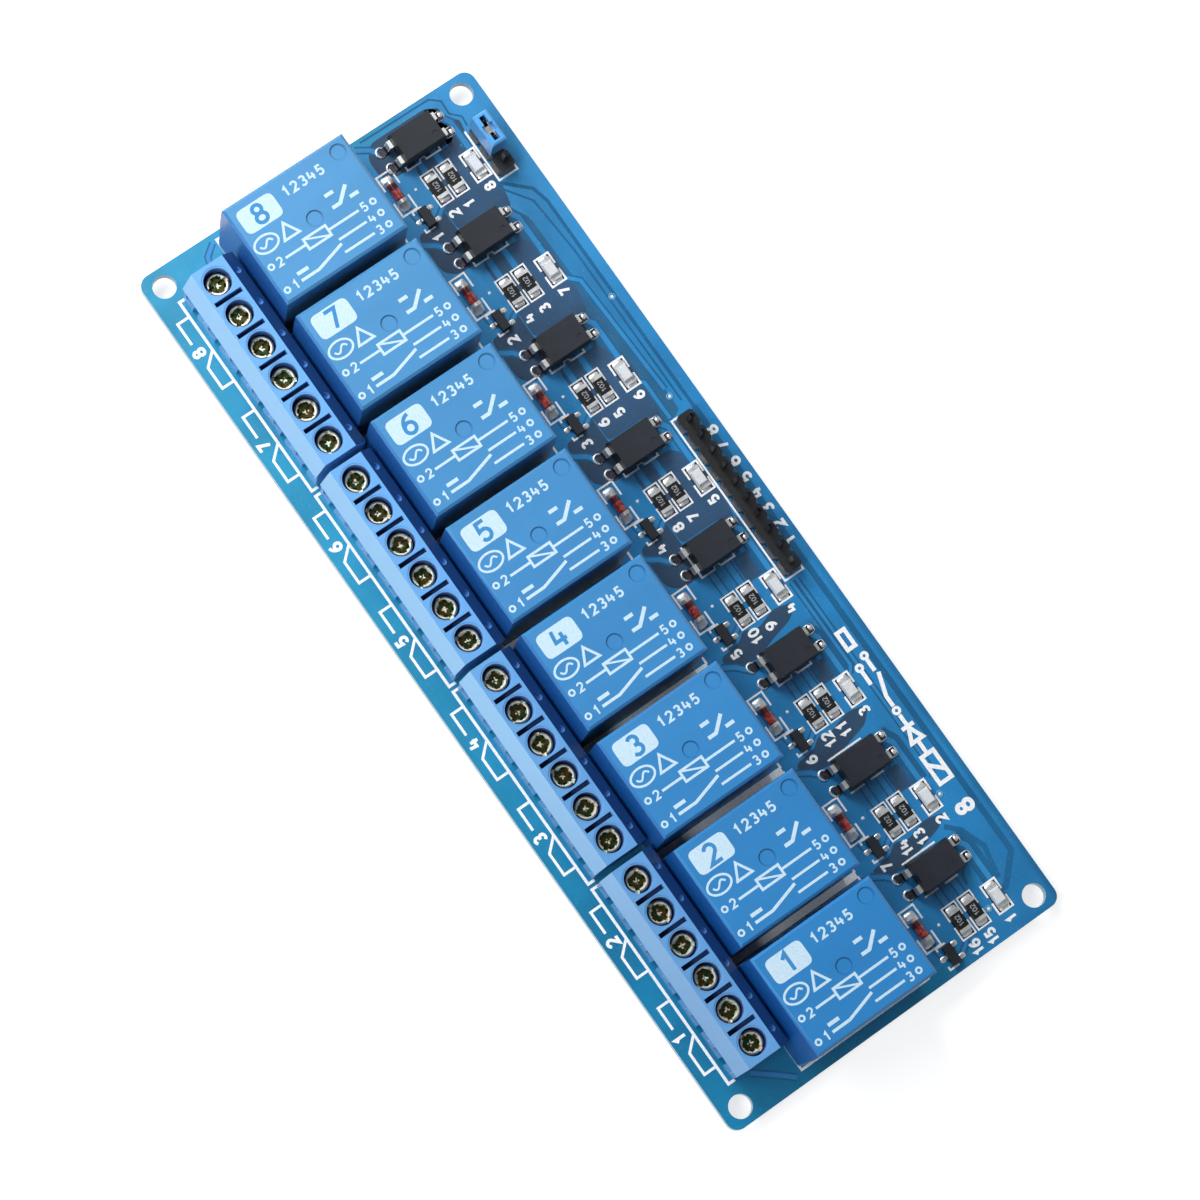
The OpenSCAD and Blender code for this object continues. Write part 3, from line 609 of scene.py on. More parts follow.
def housing_plastic():
    """Terminal housings: painted shade makes them darker toward +X, the rear chamfer dark and the wells
    and slots nearly black deep down; a painted sheen makes the front slope paler, most toward -X.
    """
    net = Net("housing_plastic")
    x, y, z = net.axes()
    low, high = BLOCK_BOXES[0]
    long = high[0] - low[0]
    colour = colours().housing
    local = net.repeat(x - low[0], BLOCK_BOXES[1][0][0] - low[0])
    across = net.maths("ABSOLUTE", y - middle(span("terminal_screws_4"))[1])
    inside = (1 - net.mask(across, 2.06, 2.1)) * net.within(local, 0.3, 0.5, long - 0.5, long - 0.3)
    sunk = inside * (1 - net.mask(z, high[2] - 1.3, high[2] - 0.1))
    ahead = net.facing("Y")
    upward = net.mask(net.facing("Z"), 0.15, 0.3)
    slope = (1 - net.mask(ahead, -0.5, -0.3)) * upward
    chamfer = net.mask(ahead, 0.3, 0.5) * upward
    body = net.mix(net.flow(7), tint(colour, 0.94), colour)
    # Painted shade: darker toward +X.
    body = net.mix(net.mask(x, -25.0, 25.0) * 0.24, body, tint(colour, 0.3))
    # Painted sheen: the front slope paler, most toward -X.
    body = net.mix(slope * (1 - net.mask(x, 5.0, 55.0) * 0.85), body, shade(138, 195, 240))
    # Painted shade on the rear chamfer.
    body = net.mix(chamfer * 0.9, body, shade(0, 44, 104))
    # Painted shade deep in the wells and slots.
    body = net.mix(sunk * 0.86, body, tint(colour, 0.02, 0.05, 0.22))
    return net.moulded(body, 0.34, 0.3, 0.006, sunk * 0.2)


def diode_red():
    """Red glass over a dark die: a dark band near the end that points to -X, clear gloss over it."""
    net = Net("diode_glass")
    low, high = DIODES[0]
    long = high[0] - low[0]
    local = net.repeat(net.axes()[0] - low[0], DRIVER_STEP)
    band = net.within(local, *(long * part for part in (0.02, 0.1, 0.3, 0.42)))
    tip = net.mask(local, 0.84 * long, 0.99 * long)
    body = net.mix(net.patches(0.6, 3, 0.35, 0.65), shade(128, 30, 28), shade(196, 84, 72))
    body = net.mix(net.maths("MAXIMUM", band * 0.85, tip * 0.6), body, shade(46, 14, 18))
    return net.finish(body, 0.12, Coat_Weight=0.8, Coat_Roughness=0.04)


def coupler_black():
    """Black moulding compound: matt, with pale specks, painted darker on its sides as shade."""
    net = Net("coupler_black")
    body = net.mix(net.noise(1.5, 4), shade(26, 30, 37), shade(36, 41, 50))
    # Painted shade: the sides are darker than the top.
    body = net.mix(net.mask(net.facing("Z"), 0.6, 0.9), shade(13, 14, 19), body)
    body = net.mix(net.patches(0.12, 2, 0.64, 0.78) * 0.4, body, shade(84, 88, 98))
    rough = 0.42 + net.noise(0.8, 3) * 0.16
    return net.finish(body, rough, net.bump(net.noise(0.1, 3, 0.7), 0.01, 0.8), Specular_IOR_Level=0.36)


def lens_clear():
    """Cloudy white resin of an indicator light, with yellowish patches."""
    net = Net("indicator_lens")
    body = net.mix(net.patches(0.6, 3, 0.5, 0.72) * 0.5, shade(218, 222, 228), shade(204, 204, 184))
    return net.finish(body, 0.22 + net.noise(0.5) * 0.1, Coat_Weight=0.5, Coat_Roughness=0.1)


# ---- sizes and colours that a user would change ----


def length(name, description, default, low, high):
    """A setting in millimetres."""
    text = description + ", in millimetres"
    return bpy.props.FloatProperty(name=name, description=text, default=default, min=low, max=high)


def paint(name, description, *default):
    """A colour setting, from a screen colour."""
    return bpy.props.FloatVectorProperty(
        name=name, description=description, subtype="COLOR", default=shade(*default))


class RelayBoardSizes(bpy.types.PropertyGroup):
    """Sizes of what lies on the board's surface, and of the view."""

    print_line: length("Print line", "Width of the white lines printed on the board", 0.26, 0.1, 0.6)
    print_height: length("Print height", "Height of the print above the lacquer", 0.05, 0.01, 0.1)
    track_gap: length("Track gap", "Width of the etched gap along each side of a track", 0.24, 0.1, 0.6)
    track_height: length(
        "Track height", "How far a track stands up through the lacquer", 0.02, 0.01, 0.06)
    lens: length("Lens", "Focal length of the camera", 120.0, 20.0, 300.0)
    lamp_power: bpy.props.FloatProperty(
        name="Lamp power", description="Power that the soft lamps share out", default=1.9,
        min=0.0, max=20.0, unit="POWER")


class RelayBoardColours(bpy.types.PropertyGroup):
    """Colours of the board and the larger mouldings."""

    lacquer: paint("Lacquer", "Lacquer where it covers copper", 40, 134, 196)
    bare_lacquer: paint("Bare lacquer", "Lacquer where there is no copper under it", 54, 90, 126)
    clear_lacquer: paint(
        "Clear lacquer", "Lacquer along the edges, where light comes through", 24, 148, 200)
    ink: paint("Ink", "White print on the board", 248, 250, 252)
    relay_ink: paint("Relay ink", "Print on the relays", 198, 226, 244)
    cover: paint("Relay cover", "Plastic of the relay covers", 50, 137, 201)
    housing: paint("Terminal housing", "Plastic of the screw terminal blocks", 108, 172, 232)
    cap: paint("Jumper cap", "Plastic of the jumper cap", 88, 168, 236)


def sizes():
    """The sizes as they are set now."""
    return bpy.context.scene.relay_board_sizes


def colours():
    """The colours as they are set now."""
    return bpy.context.scene.relay_board_colours


# ---- operators ----


class RELAYBOARD_OT_board(bpy.types.Operator):
    """Lacquer of the board, with the dark places where no copper lies under it"""

    bl_idname = "relay_board.board"
    bl_label = "Board lacquer"

    def execute(self, context):
        colour = colours().lacquer
        dress(["board"], lacquer("board_lacquer", colour, clear=colours().clear_lacquer))
        fields = Shell(TOP, TOP + 0.006)
        wells = Shell(TOP, TOP + 0.009)
        for place, (site, follower) in enumerate(zip(DRIVERS, DRIVERS[1:])):
            end = site.high[0]
            x = follower.low[0]
            light = site.light[0]
            foot = site.transistor[0]
            if place < len(DRIVERS) // 2:
                field = [
                    (end + 0.4, 12.7), (x - 0.3, 12.7), (x - 0.3, 18.6), (x + 1.0, 20.4),
                    (x - 2.6, 21.2), (end + 3.0, 21.2), (end + 0.4, 18.6)]
                fields.plate(round_corners(field, 0.8))
                well = [
                    (foot + 1.4, 7.6), (x + 3.2, 7.6), (x + 4.6, 9.2), (x + 4.6, 12.6),
                    (foot - 0.6, 12.6), (foot + 1.4, 10.0)]
                wells.plate(round_corners(well, 1.0))
            else:
                strip = [
                    (foot + 0.9, 12.6), (foot + 2.0, 11.2), (foot + 2.3, 8.0), (x - 0.2, 8.0),
                    (x + 0.4, 12.4), (x - 0.6, 15.2), (x - 1.4, 18.6), (light + 3.0, 20.6),
                    (light + 2.2, 17.6), (light + 3.2, 14.4)]
                wells.plate(round_corners(strip, 0.7))
                fields.plate(round_corners(rectangle(end + 0.5, 16.9, light - 2.4, 19.4), 0.6))
        x = DRIVERS[0].low[0]
        end = DRIVERS[0].high[0]
        border = [
            (x - 0.9, 9.6), (x + 0.8, 8.2), (end - 0.8, 8.2), (end + 0.2, 10.0), (end + 0.2, 19.4),
            (x + 0.2, 19.9), (x - 0.9, 18.6)]
        wells.plate(round_corners(border, 0.9))
        corner = [
            (-66.0, 18.2), (-65.2, 20.0), (-63.4, 20.2), (-62.2, 21.5), (-60.6, 21.2), (-58.4, 18.2)]
        wells.plate(round_corners(corner, 0.4))
        x = span("power_header")[1][0]
        end = span("input_header")[0][0]
        y = LIGHTS[0][0][1]
        strip = [
            (x + 2.0, y - 0.6), (x + 3.0, y + 0.8), (x + 6.6, y + 2.7), (x + 20.0, y + 2.9),
            (x + 22.0, y + 4.1), (end - 1.0, y + 4.1), (end - 0.4, y + 3.0), (end - 0.4, y - 0.6)]
        thin = Shell(TOP, TOP + 0.004)
        thin.plate(round_corners(strip, 0.5))
        thin.make("thin_field", lacquer("thin_lacquer", tint(colour, 1.1, 0.56, 0.5)))
        bare = colours().bare_lacquer
        fields.make("bare_fields", lacquer("bare_lacquer", bare, True))
        wells.make("bare_wells", lacquer("well_lacquer", tint(bare, 0.86, 0.76, 0.72), True))
        return {"FINISHED"}


class RELAYBOARD_OT_tracks(bpy.types.Operator):
    """Signal tracks on the top, each in its etched gap, and the plated vias"""

    bl_idname = "relay_board.tracks"
    bl_label = "Tracks and vias"

    def routes(self):
        """Widths and middle lines of the tracks, from lead to lead."""
        low, high = span("input_header")
        for place, site in enumerate(DRIVERS):
            x = site.x
            light = site.light[0]
            foot = site.transistor[0]
            first, last = site.chips
            for row in site.rows:
                yield 0.8, [(x + 1.8, row), (first[0] + 0.4, row)]
            row = site.rows[1]
            yield 0.5, [(last[0] - 0.3, row), (foot, row - 0.9), (foot + 0.9, 11.3)]
            yield 0.7, [(x - 1.3, 18.9), (x - 0.9, 19.6), (x + 0.2, 20.3), (light - 2.2, 20.3)]
            yield 0.6, [(x - 1.27, 10.2), (x - 2.6, 9.0), (x - 3.6, 7.4)]
            yield 0.5, [(foot + 0.1, 9.1), (site.diode[0] + 2.2, 8.7)]
            # Between the lights and the input header
            if place == 1:
                yield 0.5, [(light + 1.4, 20.2), (light + 3.4, 22.2), (low[0] - 4.2, 22.9)]
            if place == 2:
                yield 0.5, [(light + 1.4, 20.2), (light + 2.4, 21.2), (low[0] - 0.6, 21.2)]
            if 3 < place < 7:
                run = 20.9 + 0.8 * (place - 4)
                near = [(high[0] + 0.9, run), (light - 2.6, run), (light - 1.6, run - 0.7)]
                if near[1][0] > near[0][0] + 1:
                    yield 0.4, near
        # Short ends beside the first and the last terminal block
        yield 0.6, [(62.3, -20.2), (64.6, -17.4), (66.2, -15.6)]
        yield 0.5, [(-66.4, -15.2), (-65.2, -16.8), (-63.4, -17.4)]

    def channels(self):
        """Widths and middle lines of the bare channels between two fields of copper."""
        x = span("power_header")[1][0]
        yield 0.5, [(x + 0.2, 20.6), (x + 3.6, 24.2), (x + 6.0, 24.8), (-12.0, 24.8)]
        yield 0.85, [(-13.0, 24.8), (58.5, 24.8), (62.2, 21.1)]
        yield 0.3, [(x + 0.6, 20.2), (x + 5.0, 23.3), (x + 13.6, 23.9), (-14.6, 23.9)]
        yield 0.25, [
            (-66.9, 8.6), (-66.8, 19.6), (-65.7, 20.9), (-63.7, 20.8), (-62.5, 22.0), (-61.0, 21.9)]
        yield 0.7, [(51.0, 19.3), (52.6, 20.9), (56.0, 22.2), (60.4, 21.3)]
        for site in DRIVERS[4:]:
            x = site.x
            yield 2.3, [(x - 1.6, 19.4), (x + 0.2, 20.3), (site.light[0] - 2.2, 20.3)]
            yield 0.5, [(x + 2.2, 18.4), (x + 3.0, 17.6), (x + 4.4, 17.3)]

    def execute(self, context):
        colour = colours().lacquer
        gaps = Shell(TOP, TOP + 0.012)
        tracks = Shell(TOP, TOP + sizes().track_height)
        for width, route in self.channels():
            gaps.band(route, width)
        for order, (width, route) in enumerate(self.routes()):
            lift = 0.00015 * order
            gaps.band(route, width + sizes().track_gap * 2, lift=lift)
            tracks.band(route, width, lift=lift)
        gaps.make("track_gaps", lacquer("gap_lacquer", tint(colour, 0.55)))
        tracks.make("tracks", lacquer("track_lacquer", tint(colour, 1.05, add=0.012)))
        # Painted shade: dark plates on the board round the resistors and the indicator lights, inside
        # their brackets.
        shades = Shell(TOP, TOP + 0.03)
        for site in DRIVERS:
            x, y = site.light[:2]
            for row in site.rows:
                shades.plate(rectangle(site.chip_x - 2.4, row - 0.98, site.chip_x + 2.4, row + 0.98))
            shades.plate(rectangle(x - 2.0, y - 1.0, x + 2.0, y + 1.0))
        shades.make("chip_shade_plates", lacquer("chip_shade_lacquer", shade(24, 36, 56)))
        vias = Shell(TOP, TOP + 0.03)
        dots = Shell()
        for at in ((-15.9, 22.9), (-31.2, 24.4), (47.2, 21.4), (63.0, 17.8)):
            vias.ring(at, 0.4, 0.2)
            dots.dome(at, (0.24, 0.24), 0.05, rows=4, around=12)
        for site in DRIVERS:
            dots.dome((site.diode[0] + 1.0, 11.15), (0.24, 0.24), 0.08, rows=4, around=12)
        vias.make("vias", print_ink("via_lacquer", shade(96, 158, 204), 0.8), smooth=True)
        dots.make("via_dots", print_ink("via_tin", shade(226, 236, 240), 0.9), smooth=True)
        return {"FINISHED"}


class RELAYBOARD_OT_print(bpy.types.Operator):
    """White print on the board: outlines, contact symbols and plain numbers"""

    bl_idname = "relay_board.print"
    bl_label = "Board print"

    bold = 0.56
    title_y = 23.15

    def brackets(self, x, y, wide, high, gap, line):
        """Two facing brackets round a part."""
        for side in SIDES:
            near, far = x + side * gap / 2, x + side * wide / 2
            path = [(near, y + high / 2), (far, y + high / 2), (far, y - high / 2), (near, y - high / 2)]
            self.ink.band(path, line)

    def execute(self, context):
        self.line = sizes().print_line
        self.ink = Shell(TOP, TOP + sizes().print_height)
        for place, site in enumerate(DRIVERS):
            self.driver_print(place, site)
            self.coupler_print(place, site)
        self.relay_outlines()
        self.terminal_print(self.line + 0.1)
        self.header_print()
        self.title_print()
        self.ink.make("board_print", print_ink("board_ink", colours().ink, 0.86))
        return {"FINISHED"}

    def driver_print(self, place, site):
        """Brackets round the small parts of one driver, and their numbers."""
        ink, line = self.ink, self.line
        x, y = site.light[:2]
        self.brackets(x, y, 4.3, 2.2, 0.9, line)
        ink.number(CHANNELS[place], (x + 3.4, y), 1.3, 0.36)
        for row, y in enumerate(site.rows):
            self.brackets(site.chip_x, y, 4.9, 2.02, 0.9, line - 0.04)
            ink.number(2 * place + row + 1, (site.chip_x + 4.1, y), 1.3, 0.36)
        self.brackets(site.diode[0], site.diode[1] + 0.15, 6.3, 2.3, 1.9, line)
        foot = site.transistor[0]
        for side in SIDES:
            x = foot + side * 1.65
            ink.band([(x, 10.4), (x, 8.95), (x - side * 0.5, 8.95)], line)
        if place < 7:
            ink.number(place + 1, (foot + 3.0, 10.1), 1.3, 0.36)

    def coupler_print(self, place, site):
        """Outline beside an optocoupler, with a notch in its middle where the next one is near."""
        ink, line = self.ink, 0.26
        y = site.y
        left, right = site.low[0] - 0.28, site.high[0] + 0.28
        foot = site.low[1] + 0.1
        if place < 6:
            notch = y - 0.6
            upper = [(right - 0.5, y + 2.1), (right, y + 2.1), (right, notch + 0.5)]
            lower = [(right, notch - 0.5), (right, foot)]
            ink.band(np.vstack([upper, arc(right, notch, 0.5, 0.5, 90, 270, 9)[1:-1], lower]), line)
            end = site.low[0] if place in (4, 5) else right - 0.6
            ink.band([(right + 0.13, foot), (end, foot)], line, lift=-0.004)
        else:
            ink.band([(right, y + 2.2), (right, y + 0.1)], line)
            ink.band([(right, y - 0.9), (right, foot)], line)
            ink.band([(left, y + 2.2), (left, foot)], line)

    def relay_outlines(self):
        """Lines in front of, behind and between the relays."""
        edge = 0.36
        for place, (low, high) in enumerate(RELAYS):
            back = high[1] + 1.7
            for y in (low[1] + 0.15, back):
                self.ink.band([(low[0] - edge, y), (high[0] + edge, y)], 0.3)
            last = place == len(RELAYS) - 1
            x = high[0] + (edge if last else 0.65)
            self.ink.band([(x, low[1]), (x, back)], edge if last else 1.0, lift=-0.003)
        x = RELAYS[0][0][0] - edge
        self.ink.band([(x, RELAYS[0][0][1]), (x, back)], edge)

    def terminal_print(self, line):
        """Outline in front of each terminal block and a changeover symbol under each three poles."""
        front = BLOCK_BOXES[0][0][1] - 0.5
        foot = front - 1.85
        for place, (low, high) in enumerate(BLOCK_BOXES):
            left, right = low[0] + 0.1, high[0] + 0.25
            path = [(left, front + 1.0), (left, front), (right, front), (right, front + 1.0)]
            self.ink.band(path, line + 0.03)
            for half in (0, 1):
                x = pole_x(place, 3 * half) - 0.2
                self.ink.band([(x, front), (x, foot), (x + 3.3, foot)], line, lift=-0.003)
                path = [(x + 5.3, front), (x + 7.0, foot), (x + 10.3, foot), (x + 10.3, front)]
                self.ink.band(path, line, lift=-0.003)
                self.ink.number(CHANNELS[2 * place + half], (x + 4.75, foot + 0.15), 1.5, 0.42)

    def header_print(self):
        """Outlines round the two pin headers and a number beyond each input pin."""
        low, high = span("input_header")
        left, right, front, back = low[0] - 0.15, high[0] + 0.3, low[1] - 0.2, high[1] + 0.25
        path = [(left, high[1]), (left, front), (right, front), (right, back), (high[0] - 0.6, back)]
        self.ink.band(path, self.line)
        for pin, channel in enumerate(CHANNELS, 1):
            x = low[0] + HEADER_STEP / 2 + HEADER_STEP * pin
            self.ink.number(channel, (x, high[1] + 1.05), 1.5, 0.4)
        low, high = span("power_header")
        left, right, front, back = low[0] - 0.2, high[0] + 0.25, low[1] - 0.2, high[1] + 0.25
        path = [(left, front), (right, front), (right, back), (high[0] - 0.5, back)]
        self.ink.band(path, self.line)

    def title_print(self):
        """Bold row in the free strip: the number of channels, then coil, diode and contact symbols."""
        self.ink.number(len(RELAYS), (50.4, self.title_y), 2.2, 0.6)
        for path, joined in (
            (rectangle(42.0, -0.95, 46.2, 0.95), True),
            ([(43.2, -0.95), (45.0, 0.95)], False),
            ([(42.0, 0), (39.8, 0)], False),
            ([(39.8, -0.9), (39.8, 0.9), (37.8, 0)], True),
            ([(37.6, -0.95), (37.6, 0.95)], False),
            ([(37.6, 0), (35.8, 0)], False),
            ([(34.4, 0), (32.8, 0), (29.6, 1.05)], False),
            ([(30.4, -0.75), (28.4, -0.75)], False),
            ([(29.2, 0.75), (27.4, 0.75)], False),
        ):
            self.ink.band(np.add(path, (0, self.title_y)), self.bold, joined)
        for x, y in ((35.1, 0.0), (26.8, 0.75), (27.8, -0.75)):
            self.ink.ring((x, self.title_y + y), 0.42, 0.4, 16)
        slot = np.add(rectangle(22.4, -0.6, 25.0, 0.6), (0, self.title_y))
        self.ink.band(slot, self.bold, True)


class RELAYBOARD_OT_relays(bpy.types.Operator):
    """Plastic of the relay covers and bases, plating of their pins"""

    bl_idname = "relay_board.relays"
    bl_label = "Relays"

    def execute(self, context):
        dress(COVERS, cover_plastic())
        bases = numbered("relay_base", CHANNELS)
        dress(bases, plastic("base_plastic", shade(24, 62, 118), 0.5, 0.3, 0.008))
        dress(["relay_pins"], metal("tinned_pin", shade(206, 208, 206), 0.28))
        soften(COVERS, 0.1, 25)
        return {"FINISHED"}


class RELAYBOARD_OT_relay_print(bpy.types.Operator):
    """Generic white print on each relay: its number, coil and changeover symbols, pin numbers"""

    bl_idname = "relay_board.relay_print"
    bl_label = "Relay print"

    # Strokes and their widths, then ringed terminals with their numbers and the side these are on
    wave = np.linspace(-1, 1, 15)
    strokes = (
        ([(9.3, 2.9), (9.3, 6.1)], 0.34, False),
        (rectangle(8.55, 6.1, 10.05, 9.5), 0.34, True),
        ([(8.55, 6.1), (10.05, 9.5)], 0.26, False),
        ([(9.3, 9.5), (9.3, 14.2)], 0.34, False),
        ([(12.9, 2.9), (12.9, 5.6), (11.7, 9.9)], 0.4, False),
        ([(12.9, 14.2), (12.9, 9.6)], 0.34, False),
        ([(11.1, 14.2), (11.1, 9.9)], 0.34, False),
        ([(11.9, 2.9), (11.9, 4.6)], 0.5, False),
    )
    terminals = (
        (9.3, 0.7, 2, 1), (12.9, 0.7, 1, 1), (9.3, 16.4, 5, -1), (11.1, 16.4, 4, -1),
        (12.9, 16.4, 3, -1))
    signs = (
        (arc(6.4, 1.95, 1.15, 1.7, 0, 345, 24), 0.3, True),
        (np.c_[6.4 - 0.4 * np.sin(wave * math.pi), 1.95 + wave], 0.26, False),
        ([(5.3, 5.2), (7.4, 4.1), (7.4, 6.4)], 0.34, True),
        ([(7.2, 11.6), (7.2, 12.8), (5.5, 14.7)], 0.5, False),
        ([(7.2, 15.6), (7.2, 14.3)], 0.5, False),
        ([(5.4, 11.6), (5.4, 12.9)], 0.5, False),
    )

    def execute(self, context):
        top = RELAYS[0][1][2]
        ink = Shell(top - 0.01, top + 0.014)
        digits = Shell(ink.high, ink.high + 0.008)
        for channel, relay in zip(CHANNELS, RELAYS):
            corner = relay[0][:2] + 0.6
            ink.plate(round_corners(rectangle(0.9, 0.7, 4.4, 6.2), 0.9) + corner)
            digits.number(channel, corner + [2.65, 3.45], 2.5, 0.5, 90)
            for path, line, joined in self.strokes:
                ink.band(path + corner, line, joined)
            for x, y, value, side in self.terminals:
                ink.ring(corner + [x, y], 0.36, 0.26, 18)
                ink.number(value, corner + [x, y + side * 1.35], 1.1, 0.24, 90)
            for path, line, joined in self.signs:
                ink.band(path + corner, line, joined)
            for pin in range(5):
                ink.number(pin + 1, corner + [2.1, 7.9 + 1.3 * pin], 1.25, 0.28, 90)
        ink.make("relay_print", print_ink("relay_ink", colours().relay_ink, 0.9), "relay_cover")
        digits.make("relay_numbers", print_ink("number_ink", colours().cover, 0.9), "relay_cover")
        return {"FINISHED"}


class RELAYBOARD_OT_terminals(bpy.types.Operator):
    """Plastic, screws, cages and contacts of the terminal blocks"""

    bl_idname = "relay_board.terminals"
    bl_label = "Screw terminals"

    def execute(self, context):
        dress(HOUSINGS, housing_plastic())
        for place, screws in enumerate(numbered("terminal_screws", BLOCKS)):
            dress([screws], screw_metal(place))
        brass = metal("cage_brass", shade(206, 190, 140), 0.3, 0.3, shade(150, 132, 86))
        dress(numbered("clamp_cages", BLOCKS), brass)
        tin = metal("contact_tin", shade(200, 200, 196), 0.28, 0.25)
        dress(numbered("terminal_contacts", BLOCKS), tin)
        soften(HOUSINGS, 0.08, 40)
        return {"FINISHED"}


class RELAYBOARD_OT_drivers(bpy.types.Operator):
    """Couplers, transistors, diodes, resistors and indicator lights"""

    bl_idname = "relay_board.drivers"
    bl_label = "Driver parts"

    def execute(self, context):
        couplers = numbered("optocoupler", CHANNELS)
        dress([*couplers, "transistors"], coupler_black())
        soften(couplers, 0.06, 35)
        dress(["optocoupler_leads"], lead_tin())
        dress(["transistor_leads"], metal("small_lead_tin", shade(226, 228, 226), 0.3, 0.2))
        dress(["diode_caps"], metal("diode_cap", shade(232, 228, 224), 0.28, 0.15, share=0.7))
        dress(["diode_glass"], diode_red())
        dress(["resistors"], plastic("resistor_glaze", shade(26, 26, 28), 0.3, 0.1, 0.004, 2.0, 0.8))
        cap = metal("chip_cap", shade(236, 238, 238), 0.28, 0.12, share=0.7)
        dress(["resistor_caps", "indicator_caps"], cap)
        base = plastic("light_base", shade(226, 230, 230), 0.4, 0.2, 0.004, 2.0, 0.95)
        dress(["indicator_bases"], base)
        dress(["indicator_lenses"], lens_clear())
        top = RESISTORS[0][1][2]
        marks = Shell(top - 0.005, top + 0.015)
        for site in DRIVERS:
            for row in site.rows:
                marks.number(102, (site.chip_x, row), 0.62, 0.1)
        ink = print_ink("resistor_ink", shade(176, 180, 184), 0.8)
        marks.make("resistor_marks", ink, "resistor_body")
        return {"FINISHED"}


class RELAYBOARD_OT_solder(bpy.types.Operator):
    """Tinned pads and solder on the top, and the material of the joints under the board"""

    bl_idname = "relay_board.solder"
    bl_label = "Solder"

    def execute(self, context):
        tin = metal("solder_tin", shade(238, 240, 242), 0.3, 0.5, shade(222, 226, 230), 0.02, 0.72)
        dress(["solder_joints"], tin)
        pads = Shell()
        around = 19
        for site in DRIVERS:
            for side in SIDES:
                lead = site.x + side * HEADER_STEP / 2
                pads.dome((lead, site.high[1] + 1.2), (0.72, 0.8), 0.16, 3.0)
                pads.dome((lead + 0.1 * side, site.high[1] + 1.45), (0.56, 0.42), 0.34, 2.4)
                bead = arc(lead - 0.12, site.low[1] - 1.5, 0.66, 0.62, 120, 385, around)
                radius = 0.19 * np.sin(np.linspace(0.5, math.pi - 0.5, around))
                pads.tube(np.c_[bead, np.full(around, TOP + 0.1)], radius)
            # Two-lead parts: their middle, how far out the pads lie, and how big they are
            parts = [(site.chip_x, row, 1.72, (0.52, 0.78), 0.22) for row in site.rows]
            parts.append((*site.light[:2], 1.62, (0.45, 0.8), 0.24))
            parts.append((*site.diode[:2], 2.0, (0.72, 0.86), 0.28))
            for x, y, out, reach, height in parts:
                for side in SIDES:
                    pads.dome((x + side * out, y), reach, height, 3.5)
            x, y = site.transistor[:2]
            for at in ((x - 0.95, y + 1.15), (x + 0.95, y + 1.15), (x, y - 1.15)):
                pads.dome(at, (0.38, 0.5), 0.14, 3.0)
        pads.make("top_solder", tin, "solder", True)
        return {"FINISHED"}


class RELAYBOARD_OT_underside(bpy.types.Operator):
    """Tracks on the underside, under the same lacquer"""

    bl_idname = "relay_board.underside"
    bl_label = "Underside"

    def routes(self):
        """Widths of the tracks and of their gaps, and their middle lines."""
        reach_x, reach_y = 6.0, 7.1
        leg_y = span("terminal_contacts_1")[1][1] - 0.4
        for place, relay in enumerate(RELAYS):
            x, y = middle(relay)[:2]
            block, half = divmod(place, 2)
            pins = [(x - reach_x, y - reach_y), (x, y + reach_y), (x + reach_x, y - reach_y)]
            for pole, (pin_x, pin_y) in enumerate(pins):
                leg = pole_x(block, 3 * half + pole)
                yield 2.6, 3.6, [
                    (pin_x, pin_y + 0.4), (pin_x, pin_y - 1.0), (leg, leg_y + 0.6), (leg, leg_y - 1.2)]
            for side in SIDES:
                coil = x + side * 4.4
                yield 0.8, 1.4, [(x + side * reach_x, y + 5.1), (coil, y + 9.4), (coil, 11.6)]
        low, high = span("input_header")
        y = middle((low, high))[1]
        for pin in range(10):
            x = low[0] + HEADER_STEP / 2 - 0.02 + HEADER_STEP * pin
            reach = 17.6 - 0.5 * abs(pin - 4.5)
            end = x + (pin - 4.5) * 0.9
            yield 0.5, 1.0, [(x, y), (x, reach + 1.6), (end, reach), (end, 13.4)]

    def execute(self, context):
        low = BOARD_LOW[2]
        heavy = Shell(low - 0.035, low)
        gaps = Shell(low - 0.008, low)
        for order, (width, gap, route) in enumerate(self.routes(), 1):
            gaps.band(route, gap, sink=0.0004 * order)
            heavy.band(route, width, sink=0.0004 * order)
        dark = tint(colours().bare_lacquer, 0.8)
        gaps.make("underside_gaps", lacquer("underside_gap_lacquer", dark, True))
        heavy.make("underside_tracks", lacquer("underside_lacquer", tint(colours().lacquer, 1.1)))
        return {"FINISHED"}


class RELAYBOARD_OT_headers(bpy.types.Operator):
    """Pin headers and the jumper cap"""

    bl_idname = "relay_board.headers"
    bl_label = "Pin headers"

    def execute(self, context):
        strip = plastic("strip_plastic", shade(30, 31, 34), 0.4, 0.2, 0.008, 3.0, 0.8)
        dress(["input_header", "power_header"], strip)
        pin = metal("header_pin", shade(70, 72, 78), 0.26, 0.2, shade(46, 46, 50))
        dress(["input_header_pins", "power_header_pins"], pin)
        dress(["jumper_cap"], plastic("cap_plastic", colours().cap, 0.34, 0.2, 0.006, 3.0, 0.92))
        dress(["jumper_clip"], metal("clip_tin", shade(216, 216, 214), 0.24, 0.2))
        return {"FINISHED"}


